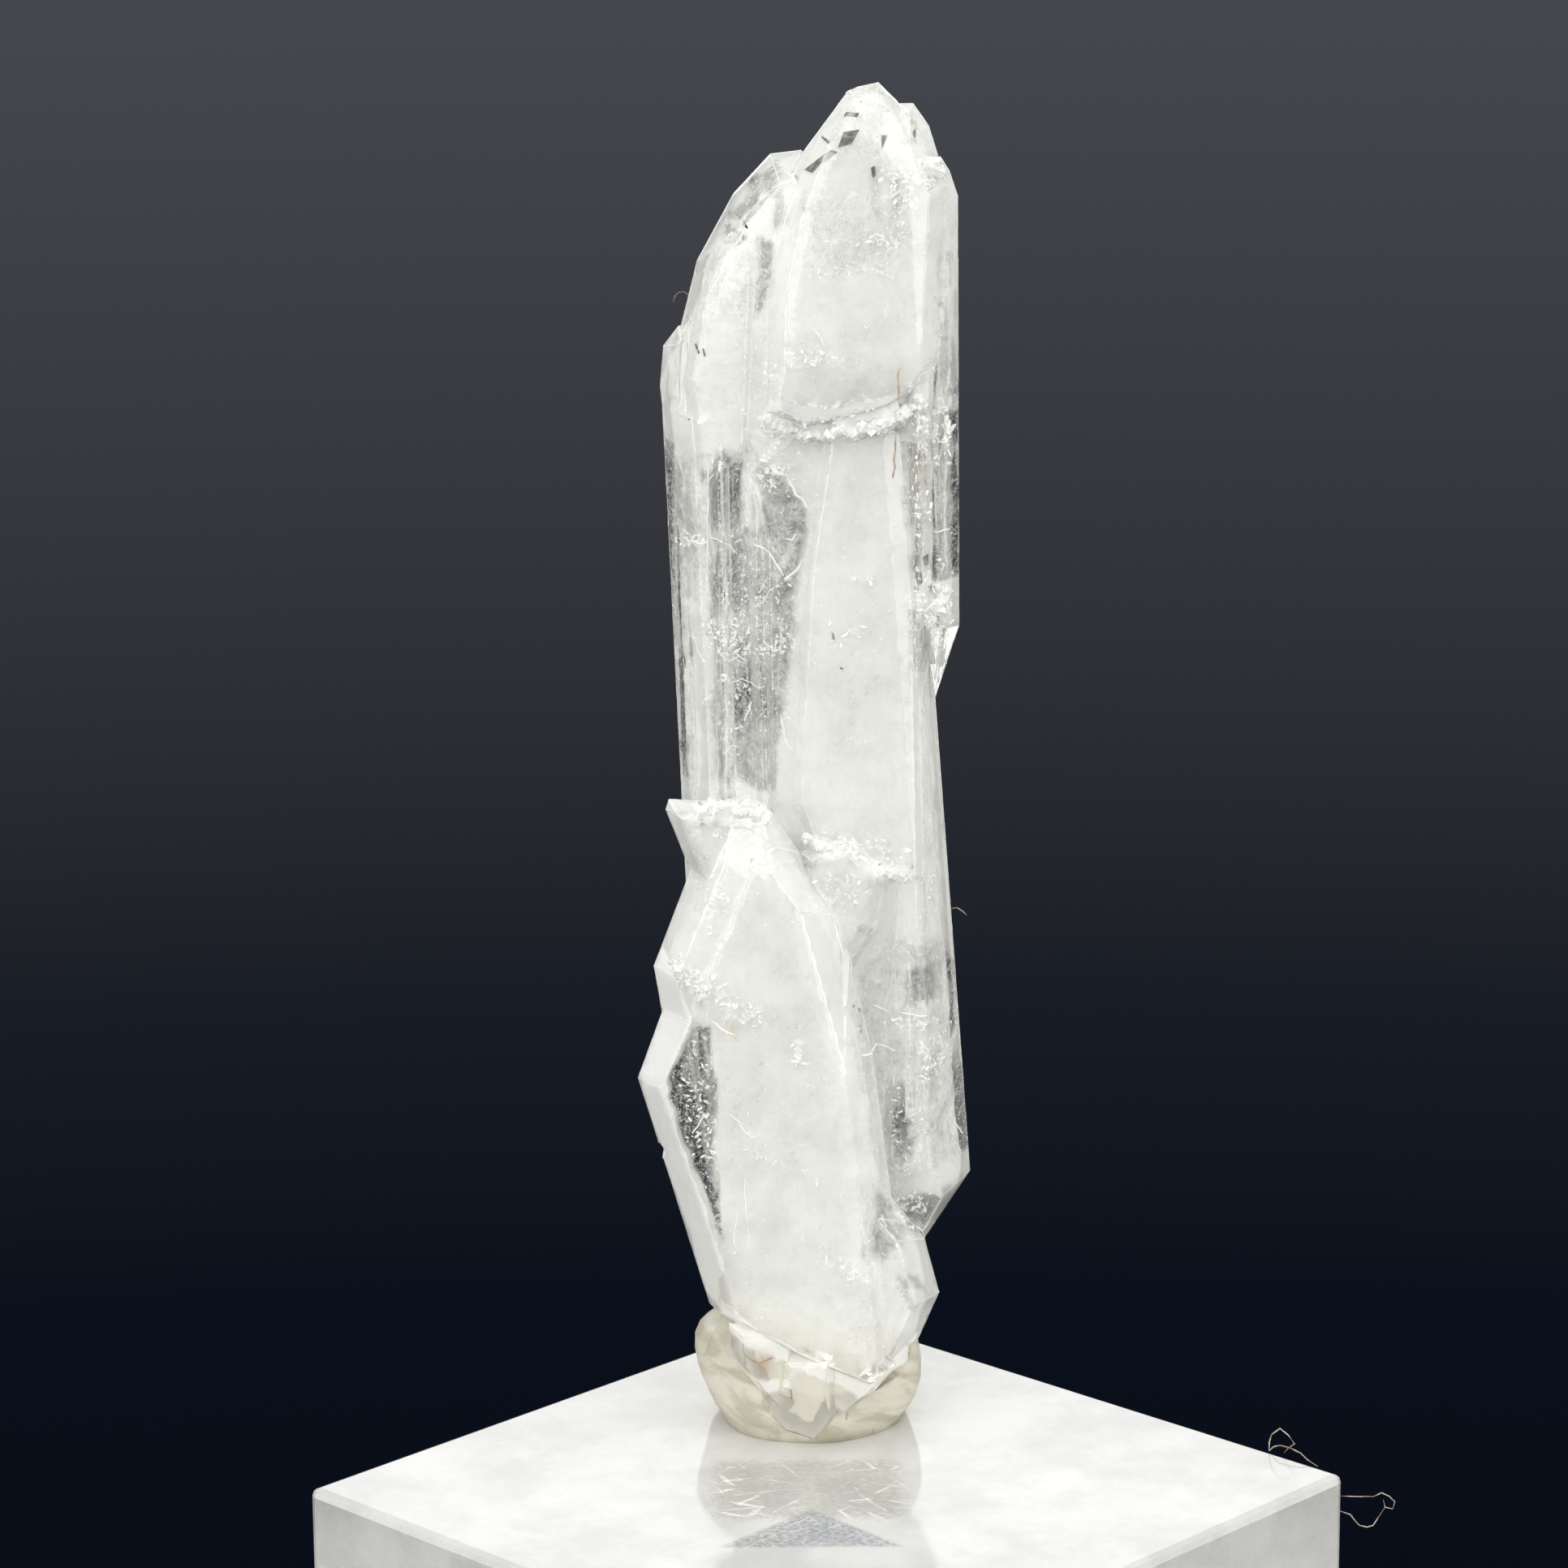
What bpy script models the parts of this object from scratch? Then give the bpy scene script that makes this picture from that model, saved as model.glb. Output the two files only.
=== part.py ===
"""A faden quartz specimen pressed into a lump of mineral putty on a clear acrylic cube.

Everything is sized in millimetres and written to the mesh in metres. The origin is the centre of
the cube's underside, +Z is up, and the specimen's broad faces look along -Y (front) and +Y (back).
Crystals are described in the specimen frame: x to the right, y into the depth, z up from the
cube's top face.
"""
import math
import random
from collections import namedtuple

import bmesh
import bpy
from mathutils import Matrix, Vector, noise

MM = 0.001

# Acrylic cube
CUBE_SIDE = 38.0
CUBE_TURN = math.radians(46.0)
CUBE_EDGE_RADIUS = 0.45

# Putty lump, seen from above as a circle
PUTTY_RADIUS = 6.0
PUTTY_HEIGHT = 7.4
PUTTY_SUNK = 1.1
PUTTY_SQUARENESS = 2.5
PUTTY_CENTRE = Vector((-0.7, 10.2))
PUTTY_GAP = 0.3
PUTTY_LUMPINESS = 0.11

# Slopes of the bevelling faces: sideways run for each millimetre of depth
PRISM_SLOPE = math.tan(math.radians(30.0))
RHOMB_SLOPE = math.tan(math.radians(20.0))
PRISM_STEEPNESS = math.radians(62.0)
LEDGE_SLOPE = 0.8
LEDGE_END_SLANT = 0.45

# Larger than any crystal, so that cutting starts from outside it
BLANK_SIZE = 400.0

SEED = 11

# A tabular crystal: its outline at the girdle, counter-clockwise from the front, the depths of its
# front face, girdle and back face, and how far it is turned about the vertical and leaned forward.
# facets are further faces across its front: (x, z) of a point on the edge it makes with the front
# face, the compass direction of its downhill side in degrees from +x, and its dip.
Plate = namedtuple("Plate", "outline front girdle back turn lean facets", defaults=(0.0, 0.0, ()))

PLATES = {
    # The tall, doubly ended plate that carries the others, its axis leaning 3 degrees left
    "main": Plate(
        [(5.4, 9.4), (7.9, 13.3), (5.9, 39.0), (4.6, 56.0), (3.2, 63.6), (-0.9, 67.7), (-2.5, 67.5),
         (-4.4, 65.5), (-6.35, 62.0), (-7.45, 57.7), (-8.2, 54.5), (-6.9, 19.0)],
        8.0, 11.2, 12.9, turn=-1.2, lean=0.3,
        facets=[((-4.7, 45.0), 182.0, 12.0), ((-3.5, 64.0), 145.0, 24.0), ((5.6, 30.0), 2.0, 20.0),
                ((4.6, 13.9), 268.0, 24.0)]),
    "main_right_half": Plate(
        [(5.2, 10.2), (6.9, 13.6), (6.5, 24.0), (5.2, 42.0), (2.6, 40.5), (2.1, 15.0), (2.9, 11.8)],
        7.5, 9.8, 12.2, turn=2.2, lean=-0.4,
        facets=[((4.6, 30.0), 3.0, 16.0), ((4.4, 14.2), 285.0, 34.0), ((3.2, 14.0), 230.0, 30.0)]),
    # The upper crystal, upright, its front standing proud of the main plate
    "upper_slab": Plate(
        [(-0.8, 53.7), (1.6, 54.1), (3.4, 54.6), (4.8, 55.4), (6.2, 57.4), (6.5, 66.0), (5.3, 68.6),
         (3.9, 70.4), (3.0, 71.3), (1.5, 71.0), (-1.1, 67.5), (-2.1, 64.8), (-2.9, 61.0),
         (-3.1, 54.6)],
        6.5, 8.6, 11.8, turn=1.2, lean=0.5,
        facets=[((4.7, 62.0), 3.0, 15.0), ((2.4, 68.6), 80.0, 20.0), ((3.3, 67.9), 38.0, 22.0),
                ((0.6, 56.8), 265.0, 13.0), ((4.2, 57.8), 305.0, 13.0)]),
    "upper_crown": Plate(
        [(4.3, 62.0), (6.0, 63.5), (6.05, 67.6), (5.6, 69.0), (4.75, 70.2), (4.0, 70.2), (3.2, 67.0)],
        7.0, 8.9, 12.4, turn=-4.0, lean=-1.5),
    "upper_back": Plate(
        [(0.5, 50.0), (5.6, 52.0), (6.4, 64.8), (5.2, 67.6), (2.8, 69.4), (0.6, 68.6), (-1.8, 65.2),
         (-2.6, 58.0)],
        9.5, 12.1, 14.0, turn=-2.4, lean=-0.6),
    "right_rib": Plate(
        [(5.9, 39.2), (7.2, 43.2), (7.1, 65.4), (6.7, 66.6), (6.2, 67.4), (5.2, 66.6), (4.9, 45.5)],
        7.9, 10.0, 12.5, turn=-3.0, lean=0.2),
    "right_rib_inner": Plate(
        [(4.9, 38.2), (5.7, 42.0), (5.75, 59.0), (4.9, 61.5), (4.2, 60.0), (4.1, 42.0)],
        7.1, 8.6, 11.5, turn=2.5, lean=0.4),
    # The smooth raised face down the middle, under the upper slab
    "centre_face": Plate(
        [(2.6, 30.3), (5.3, 30.0), (5.0, 45.0), (4.3, 56.0), (0.6, 56.5), (-0.9, 46.8), (-1.5, 38.0),
         (-1.6, 34.0), (-0.6, 32.0)],
        7.35, 8.2, 11.0, turn=0.6, lean=0.2,
        facets=[((3.7, 45.0), 4.0, 9.0)]),
    "centre_tongue": Plate(
        [(0.9, 24.8), (2.9, 27.9), (3.3, 30.6), (1.5, 32.4), (-1.2, 31.8), (-0.6, 26.8)],
        6.3, 7.2, 9.2, turn=-3.0, lean=-1.5,
        facets=[((1.9, 28.0), 310.0, 16.0)]),
    # Parallel growths down the left of the main plate
    "left_rib_outer": Plate(
        [(-6.9, 33.0), (-6.1, 35.5), (-6.3, 56.0), (-6.8, 59.4), (-7.5, 56.0), (-7.1, 36.0)],
        9.0, 10.2, 12.0, turn=3.0, lean=-0.4),
    "left_rib_middle": Plate(
        [(-5.2, 31.0), (-4.2, 33.5), (-4.4, 52.0), (-5.0, 55.4), (-5.9, 51.5), (-5.6, 33.5)],
        7.45, 8.6, 10.5, turn=-2.5, lean=0.2),
    "left_rib_inner": Plate(
        [(-3.0, 30.0), (-2.3, 31.5), (-2.4, 47.5), (-2.9, 50.2), (-3.9, 53.0), (-4.0, 46.0),
         (-3.6, 31.5)],
        7.5, 8.5, 10.5, turn=3.0, lean=-0.3),
    "left_rib_short": Plate(
        [(-5.0, 31.5), (-4.5, 32.5), (-4.5, 39.2), (-4.9, 40.9), (-5.5, 38.4), (-5.4, 32.5)],
        6.9, 8.0, 10.0, turn=-6.0, lean=1.5),
    "left_crown": Plate(
        [(-6.4, 50.5), (-3.4, 52.5), (-2.9, 62.4), (-3.6, 64.3), (-4.9, 63.4), (-6.2, 60.6),
         (-7.0, 56.5)],
        7.7, 8.7, 11.6, turn=-1.8, lean=0.5,
        facets=[((-4.4, 61.0), 140.0, 17.0)]),
    "left_shoulder": Plate(
        [(-7.95, 53.0), (-6.6, 53.5), (-6.6, 58.0), (-7.25, 58.75), (-8.1, 57.7), (-8.3, 55.6)],
        9.6, 11.0, 12.3, turn=6.0, lean=-2.0),
    # The lower crystal in front, its axis leaning 17 degrees, with stepped parallel growths
    "lower_front": Plate(
        [(-1.6, 4.6), (2.0, 2.5), (4.4, 4.3), (3.5, 13.8), (2.6, 21.1), (0.7, 28.6), (-2.0, 32.5),
         (-4.9, 32.8), (-9.8, 19.9), (-6.2, 7.6), (-4.9, 6.0)],
        3.6, 6.4, 9.3, turn=-1.4, lean=-0.8,
        facets=[((-5.5, 17.5), 178.0, 12.0), ((0.6, 17.0), 8.0, 7.0)]),
    "lower_step": Plate(
        [(-6.8, 13.5), (-1.5, 11.0), (1.2, 20.8), (-0.55, 29.3), (-1.2, 31.9), (-2.6, 34.1),
         (-3.8, 35.1), (-5.6, 34.5), (-8.9, 25.9)],
        4.1, 6.9, 9.7, turn=1.8, lean=1.2,
        facets=[((-4.9, 27.0), 165.0, 16.0), ((-3.4, 31.5), 95.0, 24.0)]),
    "lower_spike": Plate(
        [(-7.1, 31.4), (-6.4, 29.5), (-3.0, 30.0), (-2.2, 31.9), (-2.7, 34.2), (-4.6, 34.7),
         (-8.0, 34.85), (-8.25, 34.0)],
        5.0, 6.6, 8.6, turn=-3.5, lean=3.0),
    "lower_right": Plate(
        [(2.0, 2.7), (5.0, 5.2), (6.1, 7.7), (5.3, 10.8), (4.3, 12.0), (2.2, 14.7), (-1.0, 12.0),
         (-2.0, 6.0)],
        4.6, 7.2, 9.6, turn=3.2, lean=-1.5,
        facets=[((4.3, 8.0), 10.0, 30.0)]),
    # Small crystals at the foot, standing in the front of the putty
    "foot_left": Plate(
        [(-2.4, 1.9), (-1.7, 3.4), (-1.4, 6.8), (-5.2, 7.2), (-5.0, 5.2), (-3.8, 3.6)],
        3.6, 4.6, 8.0, turn=9.0, lean=3.0),
    "foot_middle": Plate(
        [(-0.7, 0.55), (-0.15, 1.05), (0.65, 2.0), (0.7, 5.6), (-2.6, 5.4), (-3.1, 2.0), (-2.2, 1.0)],
        3.5, 4.5, 8.4, turn=-6.0, lean=2.0,
        facets=[((-1.0, 3.4), 250.0, 18.0)]),
    "foot_right": Plate(
        [(1.3, 1.65), (2.6, 3.3), (4.0, 4.6), (1.8, 6.4), (-0.6, 5.0), (0.2, 2.5)],
        3.7, 4.5, 8.4, turn=-11.0, lean=2.0),
    # The back of the specimen: a broad plate, a leaning blade and a short one across its foot
    "back_plate": Plate(
        [(3.0, 15.5), (6.2, 21.0), (5.4, 49.0), (2.6, 60.5), (-1.4, 63.2), (-5.7, 57.5), (-6.5, 44.0),
         (-5.0, 20.5)],
        11.5, 12.9, 14.3, turn=1.5, lean=0.4),
    "back_blade": Plate(
        [(-2.6, 21.0), (0.2, 24.0), (1.9, 41.0), (1.3, 46.5), (-1.6, 48.5), (-3.4, 44.5),
         (-4.6, 27.0)],
        12.6, 13.9, 15.4, turn=-5.0, lean=1.0),
    "back_foot": Plate(
        [(-3.0, 9.5), (1.6, 7.6), (4.2, 13.6), (3.2, 22.5), (0.3, 26.5), (-3.9, 23.0), (-4.9, 14.5)],
        7.8, 10.6, 13.2, turn=-4.0, lean=-2.5),
    "back_shoulder": Plate(
        [(-6.6, 31.5), (-3.7, 30.0), (-2.8, 38.0), (-4.0, 43.2), (-6.5, 41.0)],
        11.8, 13.0, 14.7, turn=7.0, lean=-1.5),
}

# Which plates reach down into the putty
BEDDED = ("lower_front", "lower_right", "back_foot", "foot_left", "foot_middle", "foot_right")

# Growth ledges on a plate's broad faces: plate, side (-1 front, 1 back), how far it stands inside
# the plate's outline, its rise, and the heights it spans.
Ledge = namedtuple("Ledge", "plate side inset rise low high")
LEDGES = [
    Ledge("main_right_half", -1, 0.8, 0.15, 15.5, 26.0),
    Ledge("back_plate", 1, 0.9, 0.16, 24.0, 52.5),
    Ledge("back_plate", 1, 1.7, 0.32, 37.0, 58.5),
    Ledge("back_plate", 1, 2.6, 0.46, 20.0, 31.0),
    Ledge("back_blade", 1, 0.6, 0.20, 27.5, 42.0),
    Ledge("upper_back", 1, 0.9, 0.22, 55.5, 65.5),
    Ledge("back_foot", 1, 1.0, 0.20, 11.5, 20.5),
]

# Seams of tiny crystals where a crack has healed: the ends of the seam and its sag in x-z, the
# depth of its base, the way its crystals point, how many there are and their radius.
Seam = namedtuple("Seam", "start end sag depth out count radius")
SEAMS = [
    Seam((-2.8, 54.3), (0.3, 53.5), 0.2, 7.8, -1, 11, 0.30),
    Seam((0.3, 53.5), (5.2, 55.3), 0.4, 7.25, -1, 15, 0.30),
    Seam((-0.9, 32.6), (4.4, 30.6), 0.5, 7.2, -1, 16, 0.28),
    Seam((-8.0, 26.6), (-5.6, 25.0), 0.1, 4.7, -1, 7, 0.26),
    Seam((5.0, 65.6), (5.8, 67.6), 0.2, 7.3, -1, 8, 0.32),
    Seam((5.5, 43.6), (6.5, 45.6), 0.2, 8.1, -1, 6, 0.28),
    Seam((-6.6, 34.5), (-2.8, 33.9), -0.5, 5.2, -1, 12, 0.30),
    Seam((2.7, 12.9), (3.4, 9.4), 0.2, 5.3, -1, 8, 0.30),
    Seam((-4.8, 36.0), (3.9, 33.6), 0.8, 14.1, 1, 10, 0.38),
]

# Chips knocked off the edges: centre (x, y, z) and radius
Chip = namedtuple("Chip", "x y z radius")
CHIPS = [
    Chip(7.75, 9.7, 62.3, 0.75), Chip(7.75, 9.2, 53.0, 0.65), Chip(7.85, 10.4, 47.6, 0.7),
    Chip(-8.75, 10.9, 52.6, 0.7), Chip(-8.7, 11.6, 46.0, 0.6), Chip(-5.9, 9.8, 64.3, 0.8),
    Chip(4.35, 8.6, 71.0, 0.75), Chip(1.4, 8.9, 71.6, 0.85), Chip(7.1, 9.4, 68.2, 0.7),
    Chip(7.6, 10.2, 22.4, 0.7), Chip(7.0, 10.6, 31.6, 0.6), Chip(-8.85, 6.3, 15.9, 0.55),
    Chip(-5.2, 5.8, 35.5, 0.8), Chip(6.3, 6.4, 9.6, 0.55), Chip(-6.6, 13.8, 52.4, 0.8),
    Chip(6.1, 13.5, 37.5, 0.8), Chip(-1.9, 13.6, 64.8, 0.8),
]


def outline_centre(outline):
    """The middle of an outline's bounding box, as (x, z)."""
    xs, zs = zip(*outline)
    return (min(xs) + max(xs)) / 2, (min(zs) + max(zs)) / 2


def slope_of(dx, dz):
    """The bevel slope of an outline edge: steep edges are prism faces, the rest rhombohedral."""
    return PRISM_SLOPE if math.atan2(abs(dz), abs(dx)) > PRISM_STEEPNESS else RHOMB_SLOPE


def side_planes(outline, front, girdle, back, slope=None):
    """Two bevelling planes for each outline edge, one ahead of the girdle and one behind it."""
    planes = []
    for (x0, z0), (x1, z1) in zip(outline, outline[1:] + outline[:1]):
        dx, dz = x1 - x0, z1 - z0
        out = Vector((dz, 0.0, -dx)).normalized()
        run = slope_of(dx, dz) if slope is None else slope
        point = Vector((x0, girdle, z0))
        if girdle > front:
            planes.append((point, out - Vector((0.0, run, 0.0))))
        if back > girdle:
            planes.append((point, out + Vector((0.0, run, 0.0))))
    return planes


def facet_planes(plate):
    """The further faces across a plate's front."""
    planes = []
    for (x, z), heading, dip in plate.facets:
        downhill = Vector((math.cos(math.radians(heading)), 0.0, math.sin(math.radians(heading))))
        normal = downhill * math.tan(math.radians(dip)) + Vector((0.0, -1.0, 0.0))
        planes.append((Vector((x, plate.front, z)), normal))
    return planes


def plate_planes(plate):
    """Every face of a tabular crystal, as (point, outward normal)."""
    planes = side_planes(plate.outline, plate.front, plate.girdle, plate.back)
    planes += facet_planes(plate)
    planes.append((Vector((0.0, plate.front, 0.0)), Vector((0.0, -1.0, 0.0))))
    planes.append((Vector((0.0, plate.back, 0.0)), Vector((0.0, 1.0, 0.0))))
    return planes


def ledge_planes(ledge):
    """A low table on a plate's broad face, following the plate's outline, with slanted ends."""
    plate = PLATES[ledge.plate]
    face = plate.front if ledge.side < 0 else plate.back
    top, root = face + ledge.side * ledge.rise, face - ledge.side * ledge.inset
    outward = Vector((0.0, ledge.side, 0.0))
    planes = [(Vector((0.0, top, 0.0)), outward), (Vector((0.0, root, 0.0)), -outward)]
    for (x0, z0), (x1, z1) in zip(plate.outline, plate.outline[1:] + plate.outline[:1]):
        out = Vector((z1 - z0, 0.0, x0 - x1)).normalized()
        girdle_run = abs(plate.girdle - face) * slope_of(x1 - x0, z1 - z0)
        point = Vector((x0, top, z0)) - out * (ledge.inset + girdle_run)
        planes.append((point, out + outward * LEDGE_SLOPE))
    for height, sign in ((ledge.low, -1.0), (ledge.high, 1.0)):
        slant = Vector((LEDGE_END_SLANT * sign * ledge.side, 0.0, sign))
        planes.append((Vector((0.0, top, height)), slant + outward * LEDGE_SLOPE))
    return planes


def tilt_matrix(plate):
    """Turns and leans a plate about the middle of its outline."""
    x, z = outline_centre(plate.outline)
    centre = Vector((x, plate.girdle, z))
    turn = Matrix.Rotation(math.radians(plate.turn), 4, "Z")
    lean = Matrix.Rotation(math.radians(plate.lean), 4, "X")
    return Matrix.Translation(centre) @ turn @ lean @ Matrix.Translation(-centre)


def cut_solid(planes, grow=0.0):
    """A convex solid bounded by planes, in millimetres, each moved out by grow."""
    bm = bmesh.new()
    bmesh.ops.create_cube(bm, size=BLANK_SIZE)
    for point, normal in planes:
        outward = normal.normalized()
        geometry = bm.verts[:] + bm.edges[:] + bm.faces[:]
        bmesh.ops.bisect_plane(bm, geom=geometry, dist=1e-5, plane_co=point + outward * grow,
                               plane_no=outward, clear_outer=True)
        rim = [edge for edge in bm.edges if edge.is_boundary]
        if rim:
            bmesh.ops.holes_fill(bm, edges=rim, sides=0)
    bmesh.ops.recalc_face_normals(bm, faces=bm.faces[:])
    return bm


def add_object(name, bm, collection, matrix=None):
    """Turns a bmesh in specimen millimetres into an object in metres, standing on the cube."""
    to_metres = Matrix.Translation((0.0, 0.0, CUBE_SIDE * MM)) @ Matrix.Scale(MM, 4)
    bm.transform(to_metres @ matrix if matrix else to_metres)
    mesh = bpy.data.meshes.new(name)
    bm.to_mesh(mesh)
    bm.free()
    piece = bpy.data.objects.new(name, mesh)
    collection.objects.link(piece)
    return piece


def hide_as_tool(piece):
    """Marks an object as a guide that only modifiers read."""
    piece.hide_render = True
    piece.display_type = "WIRE"


def point_planes(radius, length, chance):
    """A six-sided crystal standing along +Z with a three-faced tip."""
    planes = [(Vector((0.0, 0.0, -length)), Vector((0.0, 0.0, -1.0)))]
    for side in range(6):
        angle = math.radians(60.0 * side)
        out = Vector((math.cos(angle), math.sin(angle), 0.0))
        planes.append((out * radius * chance.uniform(0.75, 1.0), out))
    for side in range(3):
        angle = math.radians(120.0 * side + 30.0)
        out = Vector((math.cos(angle), math.sin(angle), chance.uniform(0.7, 1.0)))
        planes.append((Vector((0.0, 0.0, length * chance.uniform(0.8, 1.0))), out))
    return planes


def seam_points(seam, chance):
    """Where a seam's crystals stand and how each is aimed, as matrices."""
    for number in range(seam.count):
        share = (number + 0.5) / seam.count
        x = seam.start[0] + (seam.end[0] - seam.start[0]) * share
        z = seam.start[1] + (seam.end[1] - seam.start[1]) * share
        z -= seam.sag * math.sin(math.pi * share) + chance.uniform(-0.22, 0.22)
        aim = Vector((chance.uniform(-0.7, 0.7), 0.75 * seam.out, chance.uniform(-0.8, 0.8)))
        point = aim.to_track_quat("Z", "Y").to_matrix().to_4x4()
        spin = Matrix.Rotation(chance.uniform(0.0, math.pi), 4, "Z")
        yield Matrix.Translation((x, seam.depth, z)) @ point @ spin


def make_material(name, colour, roughness, metallic=0.0, transmission=0.0, ior=1.5):
    material = bpy.data.materials.new(name)
    material.use_nodes = True
    shader = material.node_tree.nodes["Principled BSDF"]
    shader.inputs["Base Color"].default_value = (*colour, 1.0)
    shader.inputs["Roughness"].default_value = roughness
    shader.inputs["Metallic"].default_value = metallic
    shader.inputs["Transmission Weight"].default_value = transmission
    shader.inputs["IOR"].default_value = ior
    return material


def join_by(piece, operation, operands):
    """Adds a Boolean modifier that takes a whole collection."""
    modifier = piece.modifiers.new(operation.lower(), "BOOLEAN")
    modifier.operation = operation
    modifier.operand_type = "COLLECTION"
    modifier.collection = operands
    modifier.solver = "EXACT"


def shell_from(start):
    """Every vertex that is connected to start."""
    shell, unvisited = {start}, [start]
    while unvisited:
        for link in unvisited.pop().link_edges:
            for vert in link.verts:
                if vert not in shell:
                    shell.add(vert)
                    unvisited.append(vert)
    return shell


def settle(piece):
    """Applies a piece's modifiers and keeps its outer skin, without sealed voids or loose crumbs."""
    evaluated = piece.evaluated_get(bpy.context.evaluated_depsgraph_get())
    bm = bmesh.new()
    bm.from_mesh(bpy.data.meshes.new_from_object(evaluated))
    left, shells = set(bm.verts), []
    while left:
        shells.append(shell_from(next(iter(left))))
        left -= shells[-1]
    outer = max(shells, key=len)
    bmesh.ops.delete(bm, geom=[vert for vert in bm.verts if vert not in outer], context="VERTS")
    piece.modifiers.clear()
    bm.to_mesh(piece.data)
    bm.free()


def build_quartz(parts, growths, chips):
    """All the intergrown crystals as one solid."""
    chance = random.Random(SEED)
    for name, plate in PLATES.items():
        if name != "main":
            hide_as_tool(add_object("growth_" + name, cut_solid(plate_planes(plate)), growths,
                                    tilt_matrix(plate)))
    for number, ledge in enumerate(LEDGES):
        hide_as_tool(add_object(f"ledge_{number:02d}", cut_solid(ledge_planes(ledge)), growths,
                                tilt_matrix(PLATES[ledge.plate])))
    for number, seam in enumerate(SEAMS):
        for index, matrix in enumerate(seam_points(seam, chance)):
            radius = seam.radius * chance.uniform(0.7, 1.25)
            solid = cut_solid(point_planes(radius, radius * chance.uniform(1.3, 2.2), chance))
            hide_as_tool(add_object(f"seam_{number}_{index:02d}", solid, growths, matrix))
    for number, chip in enumerate(CHIPS):
        bm = bmesh.new()
        bmesh.ops.create_icosphere(bm, subdivisions=2, radius=chip.radius)
        spin = Matrix.Rotation(chance.uniform(0.0, math.pi), 4, Vector((1.0, 0.4, 0.7)))
        place = Matrix.Translation((chip.x, chip.y, chip.z)) @ spin
        hide_as_tool(add_object(f"chip_{number:02d}", bm, chips, place))
    quartz = add_object("faden_quartz", cut_solid(plate_planes(PLATES["main"])), parts,
                        tilt_matrix(PLATES["main"]))
    join_by(quartz, "UNION", growths)
    join_by(quartz, "DIFFERENCE", chips)
    settle(quartz)
    quartz.data.materials.append(
        make_material("quartz", (0.90, 0.92, 0.91), 0.06, transmission=0.8, ior=1.544))
    return quartz


def putty_radius_at(height):
    """The lump's radius where height is 0 at its lowest point and 1 at its crown."""
    away = abs(2.0 * height - 1.0) ** PUTTY_SQUARENESS
    return PUTTY_RADIUS * max(0.0, 1.0 - away) ** (1.0 / PUTTY_SQUARENESS)


def putty_lump():
    """A hand-rolled ball, slightly lumpy, cut flat where it is pressed on the cube."""
    bm = bmesh.new()
    bmesh.ops.create_icosphere(bm, subdivisions=4, radius=1.0)
    for vert in bm.verts:
        height = (vert.co.z + 1.0) / 2.0
        swell = 1.0 + PUTTY_LUMPINESS * noise.noise(vert.co * 1.6 + Vector((4.0, 1.0, 2.0)))
        around = Vector((vert.co.x, vert.co.y))
        around = around.normalized() if around.length > 1e-6 else around
        place = PUTTY_CENTRE + around * putty_radius_at(height) * swell
        crown = 1.0 + PUTTY_LUMPINESS * noise.noise(vert.co * 1.3)
        vert.co = (place.x, place.y, (PUTTY_HEIGHT + PUTTY_SUNK) * height * crown - PUTTY_SUNK)
    bmesh.ops.bisect_plane(bm, geom=bm.verts[:] + bm.edges[:] + bm.faces[:], dist=1e-5,
                           plane_co=(0.0, 0.0, PUTTY_GAP), plane_no=(0.0, 0.0, -1.0), clear_outer=True)
    bmesh.ops.holes_fill(bm, edges=[edge for edge in bm.edges if edge.is_boundary], sides=0)
    return bm


def build_putty(parts, cutters):
    """The lump, pressed open where the crystals stand in it."""
    putty = add_object("putty", putty_lump(), parts)
    for name in BEDDED:
        plate = PLATES[name]
        cutter = add_object("bed_" + name, cut_solid(plate_planes(plate), grow=PUTTY_GAP), cutters,
                            tilt_matrix(plate))
        hide_as_tool(cutter)
    join_by(putty, "DIFFERENCE", cutters)
    settle(putty)
    putty.data.materials.append(make_material("putty", (0.60, 0.57, 0.49), 0.65))
    return putty


def build_cube(parts):
    """The acrylic display cube, standing on its origin."""
    side = CUBE_SIDE * MM
    bpy.ops.mesh.primitive_cube_add(size=side, location=(0.0, 0.0, side / 2.0))
    cube = bpy.context.object
    cube.name = cube.data.name = "acrylic_block"
    cube.rotation_euler.z = CUBE_TURN
    edge = cube.modifiers.new("edge", "BEVEL")
    edge.width = CUBE_EDGE_RADIUS * MM
    edge.segments = 2
    for collection in cube.users_collection:
        collection.objects.unlink(cube)
    parts.objects.link(cube)
    cube.data.materials.append(
        make_material("acrylic", (0.97, 0.98, 0.98), 0.04, transmission=1.0, ior=1.49))
    return cube


def make_collection(name):
    collection = bpy.data.collections.new(name)
    bpy.context.scene.collection.children.link(collection)
    return collection


def main():
    for piece in list(bpy.data.objects):
        bpy.data.objects.remove(piece)
    parts = make_collection("faden_quartz_specimen")
    build_cube(parts)
    build_quartz(parts, make_collection("growths"), make_collection("chips"))
    build_putty(parts, make_collection("putty_cutters"))


main()
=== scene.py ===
"""Looks for the faden quartz on its display cube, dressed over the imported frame.

Places inside the crystal are given in the specimen frame, in millimetres: x to the right, y into
the depth, z up from the cube's top face. spot() turns them into the frame's metres.
"""

import math
import random
from collections import namedtuple

import bmesh
import bpy
import numpy as np
from mathutils import Matrix, Vector, bvhtree, noise


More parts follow.
